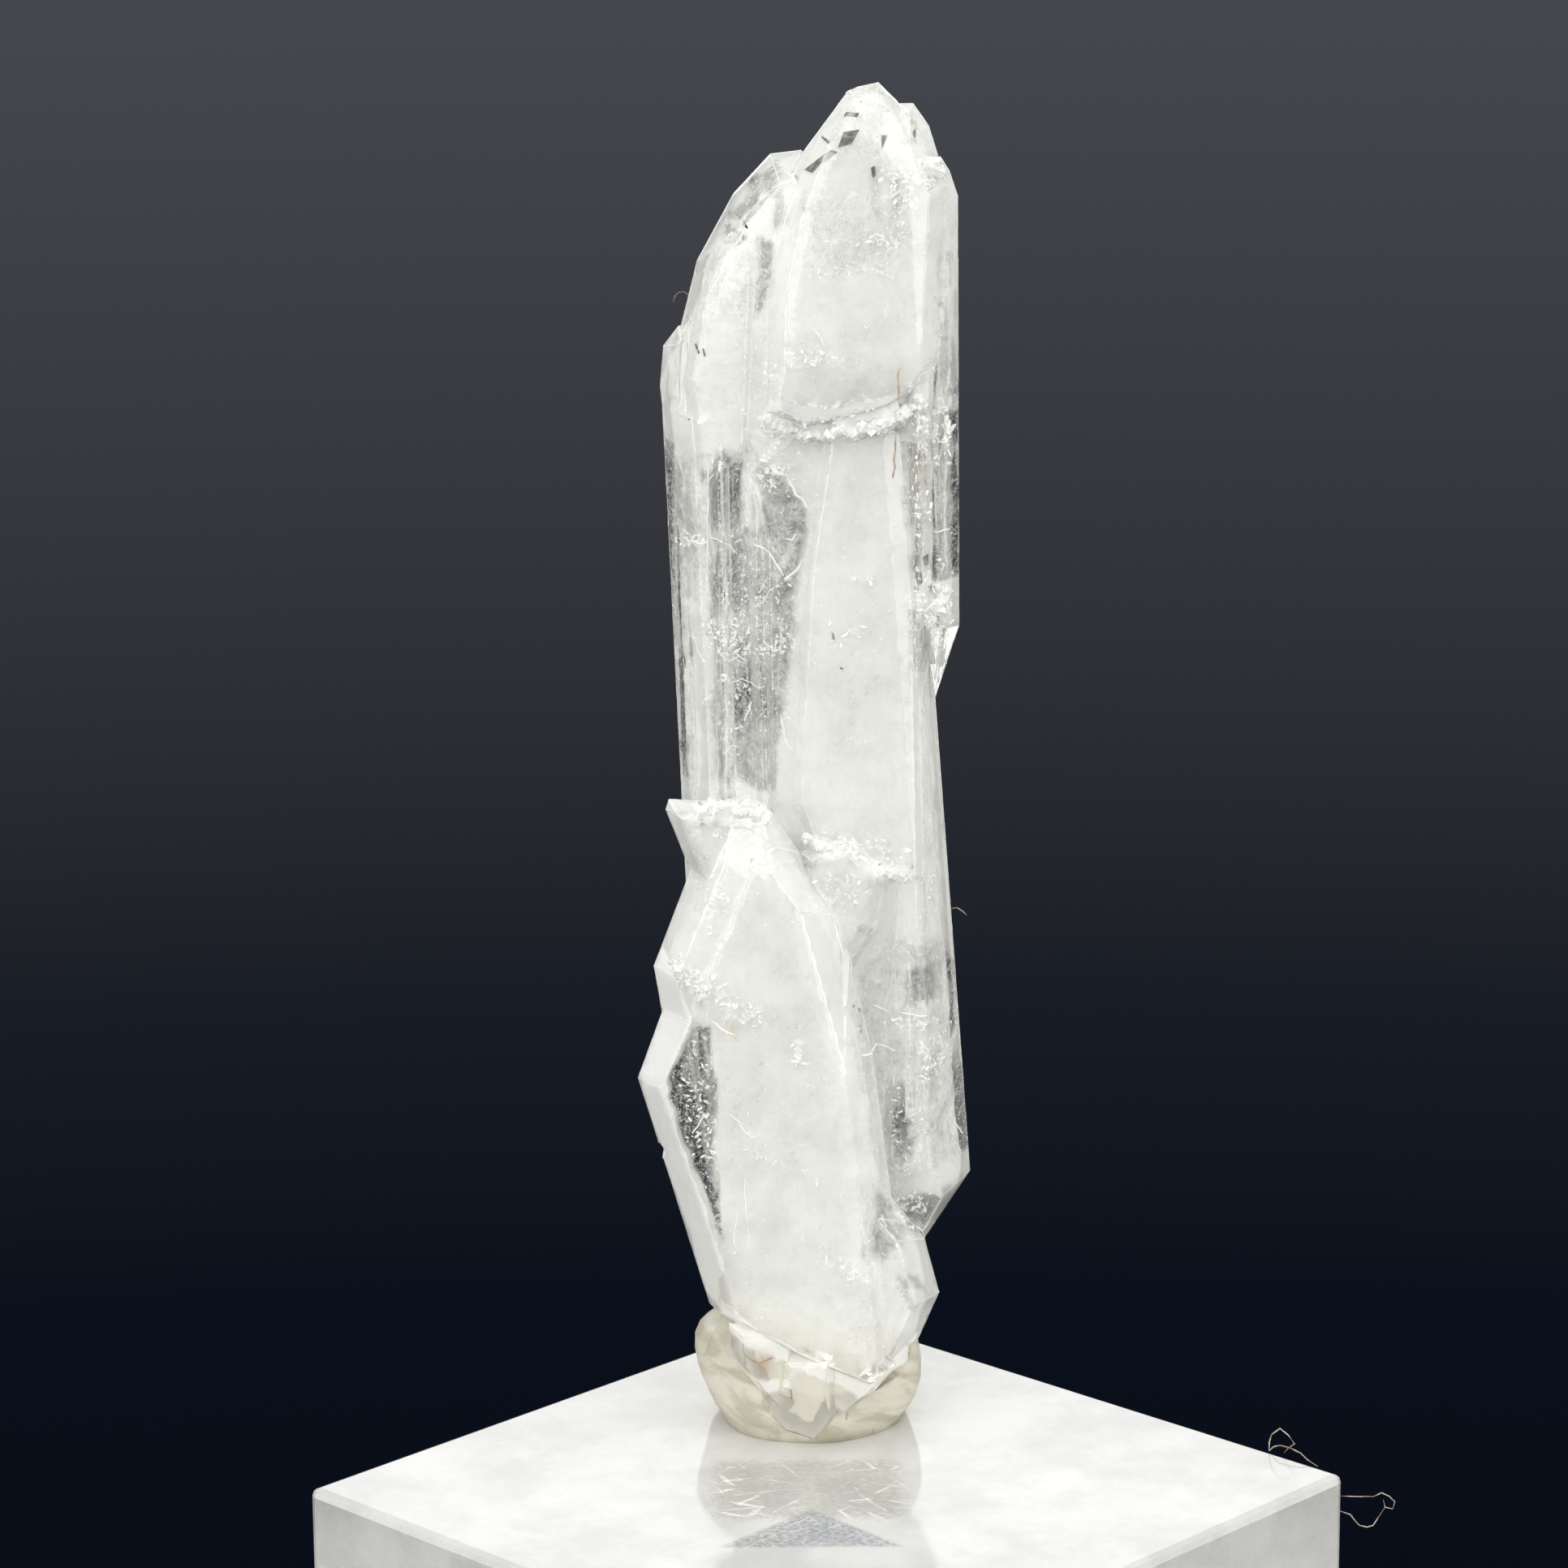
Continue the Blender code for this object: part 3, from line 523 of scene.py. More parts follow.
def build_skin():
    bm = node_bmesh("faden_quartz")
    wear_edges(bm)
    refine(bm, SKIN_EDGE)
    bm.normal_update()
    points = specimen_points(bm.verts)
    stain = np.zeros(len(points))
    for x, y, z, radius in STAINS:
        away = np.linalg.norm((points - (x, y, z)) / STAIN_STRETCH, axis=1)
        stain = np.maximum(stain, smooth(away, radius, radius * 0.2) * STAIN_STRENGTH)
    for index, vert in enumerate(bm.verts):
        p = Vector(points[index])
        swell = noise.fractal(Vector((p.x * 0.5, p.y * 0.5, p.z * 2.2)), 1.0, 2.0, 3)
        vert.co += vert.normal * (SKIN_RELIEF * MM * swell)
    piece = new_piece("quartz_skin", bm, skin_material(), ["faden_quartz"])
    piece.data.materials.append(edge_material())
    piece.data.shade_smooth()
    piece.data.set_sharp_from_angle(angle=SHARP_ANGLE)
    store(piece, "milk", milkiness(points))
    store(piece, "stain", stain)
    piece.visible_shadow = False


def haze_material(name, density, crust, webs, dark, light):
    """White haze inside the crystal. Where it thins out it breaks up into wisps and fine webs."""
    made = Nodes(name, Roughness=0.9, IOR=1.05)
    grain = made.noise(made.place(), 0.45, 4.0, 0.66, 0.5)
    wisps = made.noise(made.place((1.0, 1.0, 0.8)), 1.6, 3.0, 0.7, 1.0)
    speckle = made.noise(made.place(), 5.5, 2.0, 0.7)
    milk = made.attribute("milk")
    level = milk
    for pattern, share in ((grain, 0.7), (wisps, 0.8), (speckle, 0.3)):
        level = made.plus(level, made.times(made.minus(pattern, 0.5), share))
    alpha = made.remap(level, 0.12, 1.15, 0.0, density)
    alpha = made.math("MAXIMUM", alpha, made.remap(milk, *FROSTED, 0.0, crust))
    for scale, width in ((0.9, 0.026), (2.1, 0.03)):
        net = made.noise(made.place(), scale, 2.0, 0.55, 1.8)
        ridge = made.math("ABSOLUTE", made.minus(net, 0.5))
        web = made.times(made.remap(ridge, 0.0, width, webs, 0.0), made.remap(speckle, 0.35, 0.6))
        alpha = made.math("MAXIMUM", alpha, made.times(web, made.remap(milk, 0.75, 0.4)))
    made.drive(alpha, "Alpha")
    mottle = made.plus(made.times(grain, 1.2), made.times(speckle, 0.5))
    shade = made.remap(made.plus(mottle, made.times(wisps, 0.8)), 1.0, 1.5)
    colour = made.blend(shade, dark, light)
    made.drive(made.blend(made.attribute("warm"), colour, srgb(236, 232, 217)), "Base Color")
    return made.material


# Density, how white it is where frosted, how strong its webs are, darkest and lightest colour
VEIL_LOOK = (0.34, 0.85, 0.6, srgb(236, 236, 232), srgb(246, 246, 242))
CLOUD_LOOK = (0.96, 0.96, 0.3, srgb(224, 224, 220), srgb(242, 242, 238))


def haze_piece(name, bm, points, look):
    """A shell of haze, with the milkiness and warmth that its material reads."""
    piece = new_piece(name, bm, haze_material(name, *look))
    piece.data.shade_smooth()
    store(piece, "milk", milkiness(points))
    store(piece, "warm", warmth(points))
    return piece


def build_veil():
    """Haze just under the skin, which follows its faces."""
    bm = node_bmesh("faden_quartz")
    outer = bvhtree.BVHTree.FromBMesh(bm)
    refine(bm, VEIL_EDGE)
    refine_borders(bm, VEIL_FINEST)
    bm.normal_update()
    points = specimen_points(bm.verts)
    for vert in bm.verts:
        vert.co -= vert.normal * (VEIL_DEPTH * MM)
    keep_inside(bm, outer, HAZE_MARGIN * VEIL_DEPTH)
    haze_piece("haze_veil", bm, points, VEIL_LOOK).data.set_sharp_from_angle(angle=SHARP_ANGLE)


def keep_inside(bm, outer, depth):
    """Pushes every vertex at least depth millimetres into the crystal."""
    for _ in range(PUSH_PASSES):
        for vert in bm.verts:
            near, normal, _, _ = outer.find_nearest(vert.co)
            inside = (near - vert.co).dot(normal)
            if inside < depth * MM:
                vert.co -= normal * (depth * MM - inside)


CLOUD_STEPS = (("grow", "REMESH"), ("sink", "DISPLACE"), ("heal", "REMESH"), ("ease", "SMOOTH"))


def build_cloud():
    """Haze deeper in the crystal, its shape eased."""
    source = node_bmesh("faden_quartz")
    outer = bvhtree.BVHTree.FromBMesh(source)
    mesh = bpy.data.meshes.new("cloud_source")
    source.to_mesh(mesh)
    source.free()
    carrier = new_object("cloud_source", mesh)
    for step, kind in CLOUD_STEPS:
        modifier = carrier.modifiers.new(step, kind)
        if kind == "REMESH":
            modifier.mode = "VOXEL"
            modifier.voxel_size = CLOUD_VOXEL * MM
        elif kind == "DISPLACE":
            modifier.mid_level = 0.0
            modifier.strength = -CLOUD_DEPTH * MM
        else:
            modifier.iterations = CLOUD_EASING
    settled = carrier.evaluated_get(bpy.context.evaluated_depsgraph_get())
    bm = bmesh.new()
    bm.from_mesh(bpy.data.meshes.new_from_object(settled))
    bpy.data.objects.remove(carrier)
    for vert in bm.verts:
        swell = noise.fractal(vert.co / MM * CLOUD_PUFF_SCALE, 1.0, 2.0, 3)
        vert.co += vert.normal * (CLOUD_PUFF * MM * swell)
    keep_inside(bm, outer, HAZE_MARGIN * CLOUD_DEPTH)
    haze_piece("haze_cloud", bm, specimen_points(bm.verts), CLOUD_LOOK)


# The faden thread's course through each crystal: x, y and z along its middle
THREADS = [
    [(2.1, 9.0, 66.5), (1.7, 9.4, 56.0), (1.8, 10.2, 44.0), (1.5, 10.4, 31.0), (2.6, 10.6, 16.0)],
    [(-2.6, 6.6, 31.5), (-0.9, 6.4, 20.5), (-0.5, 6.2, 11.0), (1.2, 6.2, 5.5)],
]
LAMELLA_GAP = 0.5


def course_point(course, share):
    """The point that lies a share of the way down a course of straight stretches."""
    top, low = course[0][2], course[-1][2]
    height = top + (low - top) * share
    for (x0, y0, z0), (x1, y1, z1) in zip(course, course[1:]):
        if z0 >= height >= z1:
            part = (z0 - height) / (z0 - z1)
            return Vector((x0 + (x1 - x0) * part, y0 + (y1 - y0) * part, height))
    return Vector(course[-1])


def thread_material():
    made = Nodes("faden", Roughness=0.8, IOR=1.05, Base_Color=(*srgb(251, 251, 246), 1.0))
    grain = made.noise(made.place(), 2.2, 5.0, 0.65)
    made.drive(made.remap(grain, 0.3, 0.7, 0.05, 0.5), "Alpha")
    return made.material


def build_thread():
    """The milky thread: thin lamellae stacked along the crystals' length."""
    chance = random.Random(SEED)
    bm = bmesh.new()
    for course in THREADS:
        count = int((course[0][2] - course[-1][2]) / LAMELLA_GAP)
        for number in range(count):
            middle = course_point(course, (number + chance.uniform(0.1, 0.9)) / count)
            sway = 0.5 * noise.noise(Vector((0.0, 3.0, middle.z * 0.25)))
            middle.x += sway + chance.uniform(-0.15, 0.15)
            turn = Matrix.Rotation(chance.gauss(0.0, 0.07), 3, "X")
            turn = turn @ Matrix.Rotation(chance.gauss(0.0, 0.09), 3, "Y")
            add_flake(bm, spot(*middle), chance.uniform(0.8, 1.7), chance.uniform(0.35, 0.9), 0.03,
                      turn, chance, 9)
    new_piece("faden_thread", bm, thread_material())


# Healed cracks: drifts of bright flakes. Centre and half sizes in x and z, how deep they reach, how
# many flakes and their size, turn in degrees as seen from the front, and whether they lie under the
# front (-1) or the back (1).
Sparkle = namedtuple("Sparkle", "x z half_x half_z depth count size turn side", defaults=(0.0, -1))
SPARKLES = [Sparkle(*drift) for drift in (
    (0.9, 54.5, 4.2, 0.9, 0.25, 280, 0.28, 3.0),
    (-0.2, 57.6, 2.0, 0.7, 0.8, 90, 0.16),
    (-2.6, 56.4, 0.7, 1.4, 0.6, 60, 0.16, 12.0),
    (4.0, 66.0, 1.3, 2.2, 0.8, 130, 0.2),
    (3.4, 63.6, 1.5, 0.5, 0.8, 60, 0.16),
    (1.6, 62.0, 3.0, 0.4, 0.8, 70, 0.12),
    (-2.4, 51.9, 0.9, 1.3, 0.4, 90, 0.2, -10.0),
    (5.4, 53.2, 0.6, 1.6, 0.4, 60, 0.24),
    (6.6, 53.4, 0.3, 1.6, 0.4, 26, 0.3),
    (-3.2, 45.2, 2.2, 2.4, 2.5, 170, 0.12),
    (-4.9, 43.0, 1.8, 1.0, 1.5, 150, 0.16, -18.0),
    (-2.4, 42.6, 1.4, 0.6, 2.0, 70, 0.14, 10.0),
    (-7.0, 47.8, 0.6, 0.5, 0.6, 30, 0.22, -18.0),
    (-4.2, 39.6, 1.6, 2.2, 2.5, 80, 0.14),
    (5.5, 45.2, 1.0, 1.4, 1.2, 150, 0.2),
    (6.2, 43.2, 0.6, 1.4, 1.0, 60, 0.2),
    (5.0, 50.0, 0.5, 3.0, 1.0, 60, 0.16),
    (1.4, 43.4, 2.0, 1.2, 0.3, 50, 0.16),
    (2.3, 46.2, 0.5, 0.5, 0.2, 12, 0.26, 30.0),
    (1.6, 31.9, 2.6, 0.8, 0.3, 110, 0.26, -10.0),
    (0.9, 29.9, 1.4, 0.9, 0.4, 100, 0.2),
    (5.6, 28.8, 0.5, 2.6, 0.8, 70, 0.18),
    (4.5, 22.4, 2.4, 0.3, 1.0, 60, 0.14, -4.0),
    (6.0, 20.4, 1.0, 1.2, 0.8, 80, 0.18, -20.0),
    (4.4, 16.8, 2.2, 4.0, 2.5, 110, 0.12),
    (4.6, 12.0, 1.0, 0.9, 0.8, 50, 0.18),
    (-6.4, 25.6, 1.8, 0.8, 0.4, 120, 0.2, -28.0),
    (-4.0, 24.2, 1.8, 0.6, 0.4, 90, 0.18, -18.0),
    (-6.6, 19.0, 0.8, 3.6, 1.5, 110, 0.14, 10.0),
    (-1.4, 22.0, 0.3, 1.0, 0.3, 22, 0.22),
    (-4.2, 33.4, 2.4, 0.6, 0.4, 90, 0.16),
    (-5.6, 30.0, 0.8, 1.8, 0.3, 60, 0.16, 14.0),
    (1.4, 10.2, 2.4, 0.5, 0.5, 110, 0.16, -34.0),
    (-3.0, 16.4, 2.6, 0.4, 0.5, 70, 0.12, -24.0),
    (-0.2, 5.3, 0.5, 0.5, 0.2, 12, 0.34, -50.0),
    (2.2, 4.4, 0.3, 0.6, 0.2, 8, 0.34, 30.0),
    (2.0, 60.0, 6.0, 9.0, 0.6, 420, 0.09),
    (1.0, 44.0, 4.0, 14.0, 0.5, 220, 0.08),
    (-5.0, 57.0, 3.0, 6.0, 0.5, 160, 0.09),
    (-3.0, 19.0, 7.0, 14.0, 0.6, 420, 0.09),
    (2.4, 8.0, 3.0, 4.0, 0.6, 120, 0.09),
    (-1.0, 34.6, 4.0, 0.6, 0.4, 130, 0.2, -6.0, 1),
    (1.0, 52.0, 3.5, 0.5, 0.5, 110, 0.18, 4.0, 1),
    (0.0, 20.0, 2.5, 2.0, 0.8, 120, 0.16, 20.0, 1),
)]
# Crack lines and growth lines that show on the front: the radius, then a course in x and z
CRACKS = [
    (0.13, (-2.7, 55.0), (-1.8, 54.5), (-0.7, 54.2), (0.4, 54.3)),
    (0.13, (0.2, 54.3), (1.7, 54.65), (2.9, 55.1), (3.8, 55.5), (4.6, 55.7)),
    (0.06, (-1.7, 51.4), (-1.3, 50.5), (-0.9, 50.0), (-0.4, 49.4)),
    (0.03, (-5.7, 48.1), (-5.3, 48.2), (-4.7, 47.8), (-4.1, 47.1)),
    (0.03, (-4.5, 47.9), (-4.2, 48.0), (-4.0, 48.1)),
    (0.055, (-3.5, 48.0), (-2.9, 47.7), (-2.3, 46.8), (-1.9, 45.9)),
    (0.06, (-1.9, 45.9), (-1.4, 46.4), (-0.9, 47.2)),
    (0.035, (-3.4, 44.7), (-3.0, 45.0), (-2.6, 45.4), (-2.3, 45.6)),
    (0.04, (-1.8, 48.1), (-1.5, 48.0), (-1.3, 48.6)),
    (0.025, (-5.3, 44.8), (-5.0, 45.2), (-4.7, 45.5)),
    (0.04, (-4.0, 38.6), (-3.7, 39.3), (-3.5, 39.8)),
    (0.08, (-6.8, 47.9), (-6.4, 47.8), (-6.0, 47.9)),
    (0.05, (-6.8, 42.9), (-6.5, 42.4), (-6.2, 41.7), (-5.9, 41.7)),
    (0.06, (-6.4, 39.2), (-6.0, 39.6), (-5.6, 40.1)),
    (0.04, (-5.7, 52.2), (-5.8, 50.1), (-5.9, 46.7), (-5.9, 44.6)),
    (0.03, (-6.6, 46.1), (-6.7, 45.5), (-6.7, 44.8)),
    (0.07, (-5.2, 52.2), (-5.0, 51.9), (-5.2, 51.6)),
    (0.03, (-5.3, 42.2), (-4.7, 41.8), (-4.2, 42.0), (-3.6, 41.6)),
    (0.05, (-3.0, 42.9), (-2.4, 42.2), (-2.0, 42.4)),
    (0.03, (-4.8, 40.6), (-4.2, 40.9), (-3.4, 40.4), (-2.7, 40.6)),
    (0.03, (-5.2, 36.9), (-4.6, 37.4), (-4.1, 37.0)),
    (0.05, (-2.2, 39.0), (-2.0, 37.6), (-1.2, 36.6)),
    (0.055, (1.9, 21.3), (2.5, 21.2), (3.2, 21.0), (4.0, 20.9)),
    (0.045, (5.1, 21.2), (5.5, 20.9), (5.8, 20.8)),
    (0.04, (2.6, 23.3), (3.1, 23.1), (3.5, 23.0)),
    (0.05, (4.0, 23.1), (4.9, 22.9), (5.7, 22.8)),
    (0.05, (6.9, 16.4), (7.2, 15.8), (7.5, 15.3)),
    (0.06, (-5.8, 23.7), (-5.0, 23.1), (-4.4, 22.9)),
    (0.04, (-6.9, 17.6), (-6.4, 18.3), (-6.0, 18.9)),
    (0.04, (-4.9, 18.8), (-4.3, 18.0), (-3.8, 17.5), (-3.2, 17.7)),
    (0.03, (-4.2, 15.3), (-4.1, 13.1), (-4.0, 10.4)),
    (0.03, (-4.5, 13.7), (-4.8, 12.2), (-4.5, 10.8)),
    (0.04, (5.8, 54.8), (6.3, 54.7), (6.8, 54.8)),
    (0.04, (5.8, 53.2), (6.2, 53.0), (6.8, 53.0)),
    (0.05, (5.7, 48.4), (6.2, 48.4), (6.8, 48.3)),
    (0.03, (4.1, 53.3), (4.5, 53.2), (5.0, 53.1)),
    (0.04, (5.6, 43.5), (5.7, 42.2), (5.8, 40.9), (5.9, 39.8)),
    (0.04, (5.7, 43.3), (6.2, 43.4), (6.6, 43.4)),
    (0.03, (6.5, 42.7), (6.3, 40.9), (6.0, 39.8)),
    (0.03, (3.2, 59.6), (3.3, 60.0), (3.5, 60.4)),
    (0.03, (-0.4, 59.2), (0.0, 58.6), (0.4, 58.1)),
]
# Cracks that rust has stained
STAINED = [
    (0.045, (4.0, 57.1), (3.9, 56.0), (4.0, 55.0), (3.9, 54.0), (3.8, 52.7), (3.7, 51.5),
     (3.7, 51.1)),
    (0.04, (5.2, 52.9), (5.3, 51.9), (5.4, 50.9), (5.5, 49.5)),
    (0.05, (-4.4, 5.8), (-3.7, 5.2), (-3.0, 5.3), (-2.5, 5.5)),
]
# Open gaps just under the skin: plates painted with the dark room they reflect. Their outlines in x
# and z
PAINTED_DARK_GAPS = [
    [(0.9, 68.2), (1.2, 69.0), (2.0, 69.1), (1.6, 68.4)],
    [(-0.8, 67.0), (-0.4, 66.9), (0.9, 68.0), (0.6, 68.1)],
    [(0.1, 68.6), (0.1, 68.7), (0.5, 68.5), (0.4, 68.4)],
    [(1.2, 69.7), (1.3, 69.9), (2.0, 69.9), (1.9, 69.7)],
    [(3.1, 68.1), (3.1, 68.8), (3.4, 68.8)],
    [(4.7, 68.9), (4.85, 69.0), (4.85, 68.6), (4.75, 68.6)],
    [(2.55, 67.2), (2.75, 67.3), (2.8, 66.8), (2.65, 66.7)],
    [(-6.4, 58.2), (-6.3, 58.2), (-6.1, 57.8), (-6.2, 57.7)],
    [(-6.0, 58.0), (-5.9, 58.0), (-5.8, 57.6), (-5.9, 57.6)],
    [(5.2, 47.2), (5.5, 47.3), (5.5, 46.7), (5.3, 46.7)],
    [(4.8, 46.4), (5.1, 46.5), (5.2, 45.9), (4.9, 45.8)],
    [(0.5, 43.4), (0.6, 43.3), (0.65, 43.0), (0.57, 43.0)],
    [(0.9, 41.55), (1.1, 41.5), (1.05, 41.42), (0.95, 41.45)],
    [(-1.9, 3.7), (-1.82, 3.7), (-1.8, 3.1), (-1.86, 3.1)],
]
PAINTED_DARK_GAP_DEPTHS = (0.04, 0.08)
CRACK_COVER = 0.05  # how much crystal lies over a crack
CRACK_WANDER = 0.12
RAY_START = 60.0  # where rays at the crystal start, on either side


def fleck_material():
    """Gaps and flakes inside the crystal, which flash white."""
    made = Nodes("flecks", Base_Color=(*srgb(254, 254, 250), 1.0), Coat_Weight=0.3)
    rough = made.remap(made.noise(made.place(), 3.0, 2.0), 0.3, 0.7, 0.35, 0.8)
    made.drive(rough, "Roughness")
    return made.material


def blotched(name, scale, detail, dark, light, **values):
    """A material that wanders between two colours."""
    made = Nodes(name, **values)
    shade = made.remap(made.noise(made.place(), scale, detail), 0.35, 0.65)
    made.drive(made.blend(shade, dark, light), "Base Color")
    return made.material


# Painted reflection: the gaps' dark colours stand in for the dark room that they reflect.
def painted_dark_gap_material():
    return blotched("gaps", 2.5, 3.0, srgb(56, 57, 52), srgb(124, 125, 116), Roughness=0.2,
                    Coat_Weight=0.3)


def stain_material():
    return blotched("rust_stain", 1.8, 4.0, srgb(128, 92, 56), srgb(206, 186, 150), Roughness=0.6)


def surface_point(skin, x, z, depth, side=-1):
    """The point depth millimetres inside the crystal's front (-1) or back (1), with its normal."""
    start = spot(x, RAY_START * side, z)
    hit, normal, _, _ = skin.ray_cast(start, Vector((0.0, -side, 0.0)))
    if hit is None:
        return None, None
    return hit - normal * (depth * MM), normal


def add_crack(bm, skin, course, radius):
    """A wandering tube just under the skin, along a course in x and z."""
    path = []
    for (x0, z0), (x1, z1) in zip(course, course[1:]):
        for share in (0.0, 0.33, 0.67):
            x, z = x0 + (x1 - x0) * share, z0 + (z1 - z0) * share
            shift = noise.noise_vector(Vector((x, 0.0, z)) * 2.0) * CRACK_WANDER
            place, _ = surface_point(skin, x + shift.x, z + shift.z, radius + CRACK_COVER)
            if place is not None:
                path.append(place)
    if len(path) > 2:
        add_tube(bm, path, radius)


def add_plate(bm, skin, outline, depths):
    """A thin closed plate under the skin, with an outline in x and z."""
    near, far = ([bm.verts.new(surface_point(skin, x, z, depth)[0]) for x, z in outline]
                 for depth in depths)
    bm.faces.new(near)
    bm.faces.new(far[::-1])
    for (a, b), (c, d) in zip(around(near), around(far)):
        bm.faces.new((b, a, c, d))


def crystal_tree():
    """The crystals' surface, to aim at."""
    source = node_bmesh("faden_quartz")
    skin = bvhtree.BVHTree.FromBMesh(source)
    source.free()
    return skin


def build_flecks(skin):
    chance = random.Random(SEED + 1)
    bm = bmesh.new()
    for drift in SPARKLES:
        turn = Matrix.Rotation(math.radians(drift.turn), 2)
        for _ in range(drift.count):
            off = turn @ Vector((chance.gauss(0.0, 0.5) * drift.half_x,
                                 chance.gauss(0.0, 0.5) * drift.half_z))
            size = drift.size * chance.choice((0.3, 0.4, 0.5, 0.7, 1.0))
            depth = 0.04 + 0.3 * size + chance.random() ** 2 * drift.depth
            tilt = Vector([chance.gauss(0.0, 0.33) for _ in range(3)])
            spin = Matrix.Rotation(chance.uniform(0.0, math.pi), 3, "Z")
            place, normal = surface_point(skin, drift.x + off.x, drift.z + off.y, depth, drift.side)
            if place is None:
                continue
            lit = Vector((0.0, 0.6 * drift.side, 0.5))
            aim = (normal + lit + tilt).normalized().to_track_quat("Z", "Y").to_matrix() @ spin
            add_flake(bm, place, size * chance.uniform(0.9, 1.7), size * 0.6, size * 0.06, aim,
                      chance, 6)
    for radius, *course in CRACKS:
        add_crack(bm, skin, course, radius)
    new_piece("healed_cracks", bm, fleck_material())


def build_painted_dark_gaps_and_stains(skin):
    """Open gaps, as plates painted dark with the room they reflect, and cracks that rust has
    stained.
    """
    bm = bmesh.new()
    for outline in PAINTED_DARK_GAPS:
        add_plate(bm, skin, outline, PAINTED_DARK_GAP_DEPTHS)
    open_faces = len(bm.faces)
    for radius, *course in STAINED:
        add_crack(bm, skin, course, radius)
    bm.faces.ensure_lookup_table()
    for face in bm.faces[open_faces:]:
        face.material_index = 1
    piece = new_piece("painted_dark_gaps_and_stains", bm, painted_dark_gap_material())
    piece.data.materials.append(stain_material())


# ---------------------------------------------------------------- putty and cube

def putty_material():
    made = Nodes("putty", Roughness=0.62, Coat_Weight=0.08)
    streaks = made.noise(made.place((0.4, 0.4, 1.3), (0.15, -0.3, 0.0)), 0.9, 4.0, 0.5, 0.5)
    speckle = made.noise(made.place(), 7.0, 4.0)
    colour = made.blend(made.remap(streaks, 0.35, 0.65), srgb(196, 190, 168), srgb(225, 221, 204))
    made.drive(colour, "Base Color")
    normal = made.bump(streaks, 0.12, 0.08)
    made.drive(made.bump(speckle, 0.25, 0.03, normal), "Normal")
    return made.material


PUTTY_EDGE = 0.4  # longest edge of the putty's mesh
PUTTY_GAP = 0.5  # the putty closes up to the crystal across gaps narrower than this
PUTTY_TOUCH = 0.02
PUTTY_LIFT = 0.02  # how far its foot stays above the cube
PUTTY_FOOT = 1e-6  # in metres: vertices this near its lowest point are its foot
# The crease along its fold: a path in the specimen frame, with its width and depth
FOLD = [(-5.6, 9.3, 6.2), (-5.8, 9.1, 6.0), (-5.9, 8.3, 5.7), (-6.2, 8.0, 5.3), (-6.5, 8.1, 4.8),
        (-6.6, 8.1, 4.4)]
FOLD_WIDTH = 0.5
FOLD_DEPTH = 0.35


def off_path(place, path):
    """The distance from a point to an open path."""
    away = []
    for start, end in zip(path, path[1:]):
        start, run = Vector(start), Vector(end) - Vector(start)
        share = min(max((place - start).dot(run) / run.length_squared, 0.0), 1.0)
        away.append((place - start - run * share).length)
    return min(away)


def build_putty(crystal):
    bm = node_bmesh("putty")
    refine(bm, PUTTY_EDGE)
    bm.normal_update()
    foot = CUBE_TOP + PUTTY_LIFT * MM
    low = min(vert.co.z for vert in bm.verts)
    points = specimen_points(bm.verts)
    creased = []
    for vert, place in zip(bm.verts, points):
        near, normal, _, away = crystal.find_nearest(vert.co)
        if away < PUTTY_GAP * MM and normal.y > -0.3:
            vert.co += (near - vert.co) * (1.0 - PUTTY_TOUCH * MM / max(away, PUTTY_TOUCH * MM))
            creased.append(vert)
        else:
            fold = float(smooth(off_path(Vector(place), FOLD), FOLD_WIDTH, 0.0))
            vert.co -= vert.normal * (FOLD_DEPTH * MM * fold)
        if vert.co.z < low + PUTTY_FOOT:
            vert.co.z = foot
    bmesh.ops.smooth_vert(bm, verts=creased, factor=0.5, use_axis_x=True, use_axis_y=True,
                          use_axis_z=True)
    new_piece("putty_ball", bm, putty_material(), ["putty"]).data.shade_smooth()


# Painted reflection on the cube's top, where it mirrors the dark room: a patch (centre and half
# sizes) and a triangle beside it (middle, apex, base and half width per millimetre of length), in
# specimen x and y
PAINTED_REFLECTION_PATCH = (-1.05, -1.2, 4.6, 3.8)
PAINTED_REFLECTION_TRIANGLE = (-0.9, -3.6, -9.0, 0.92)


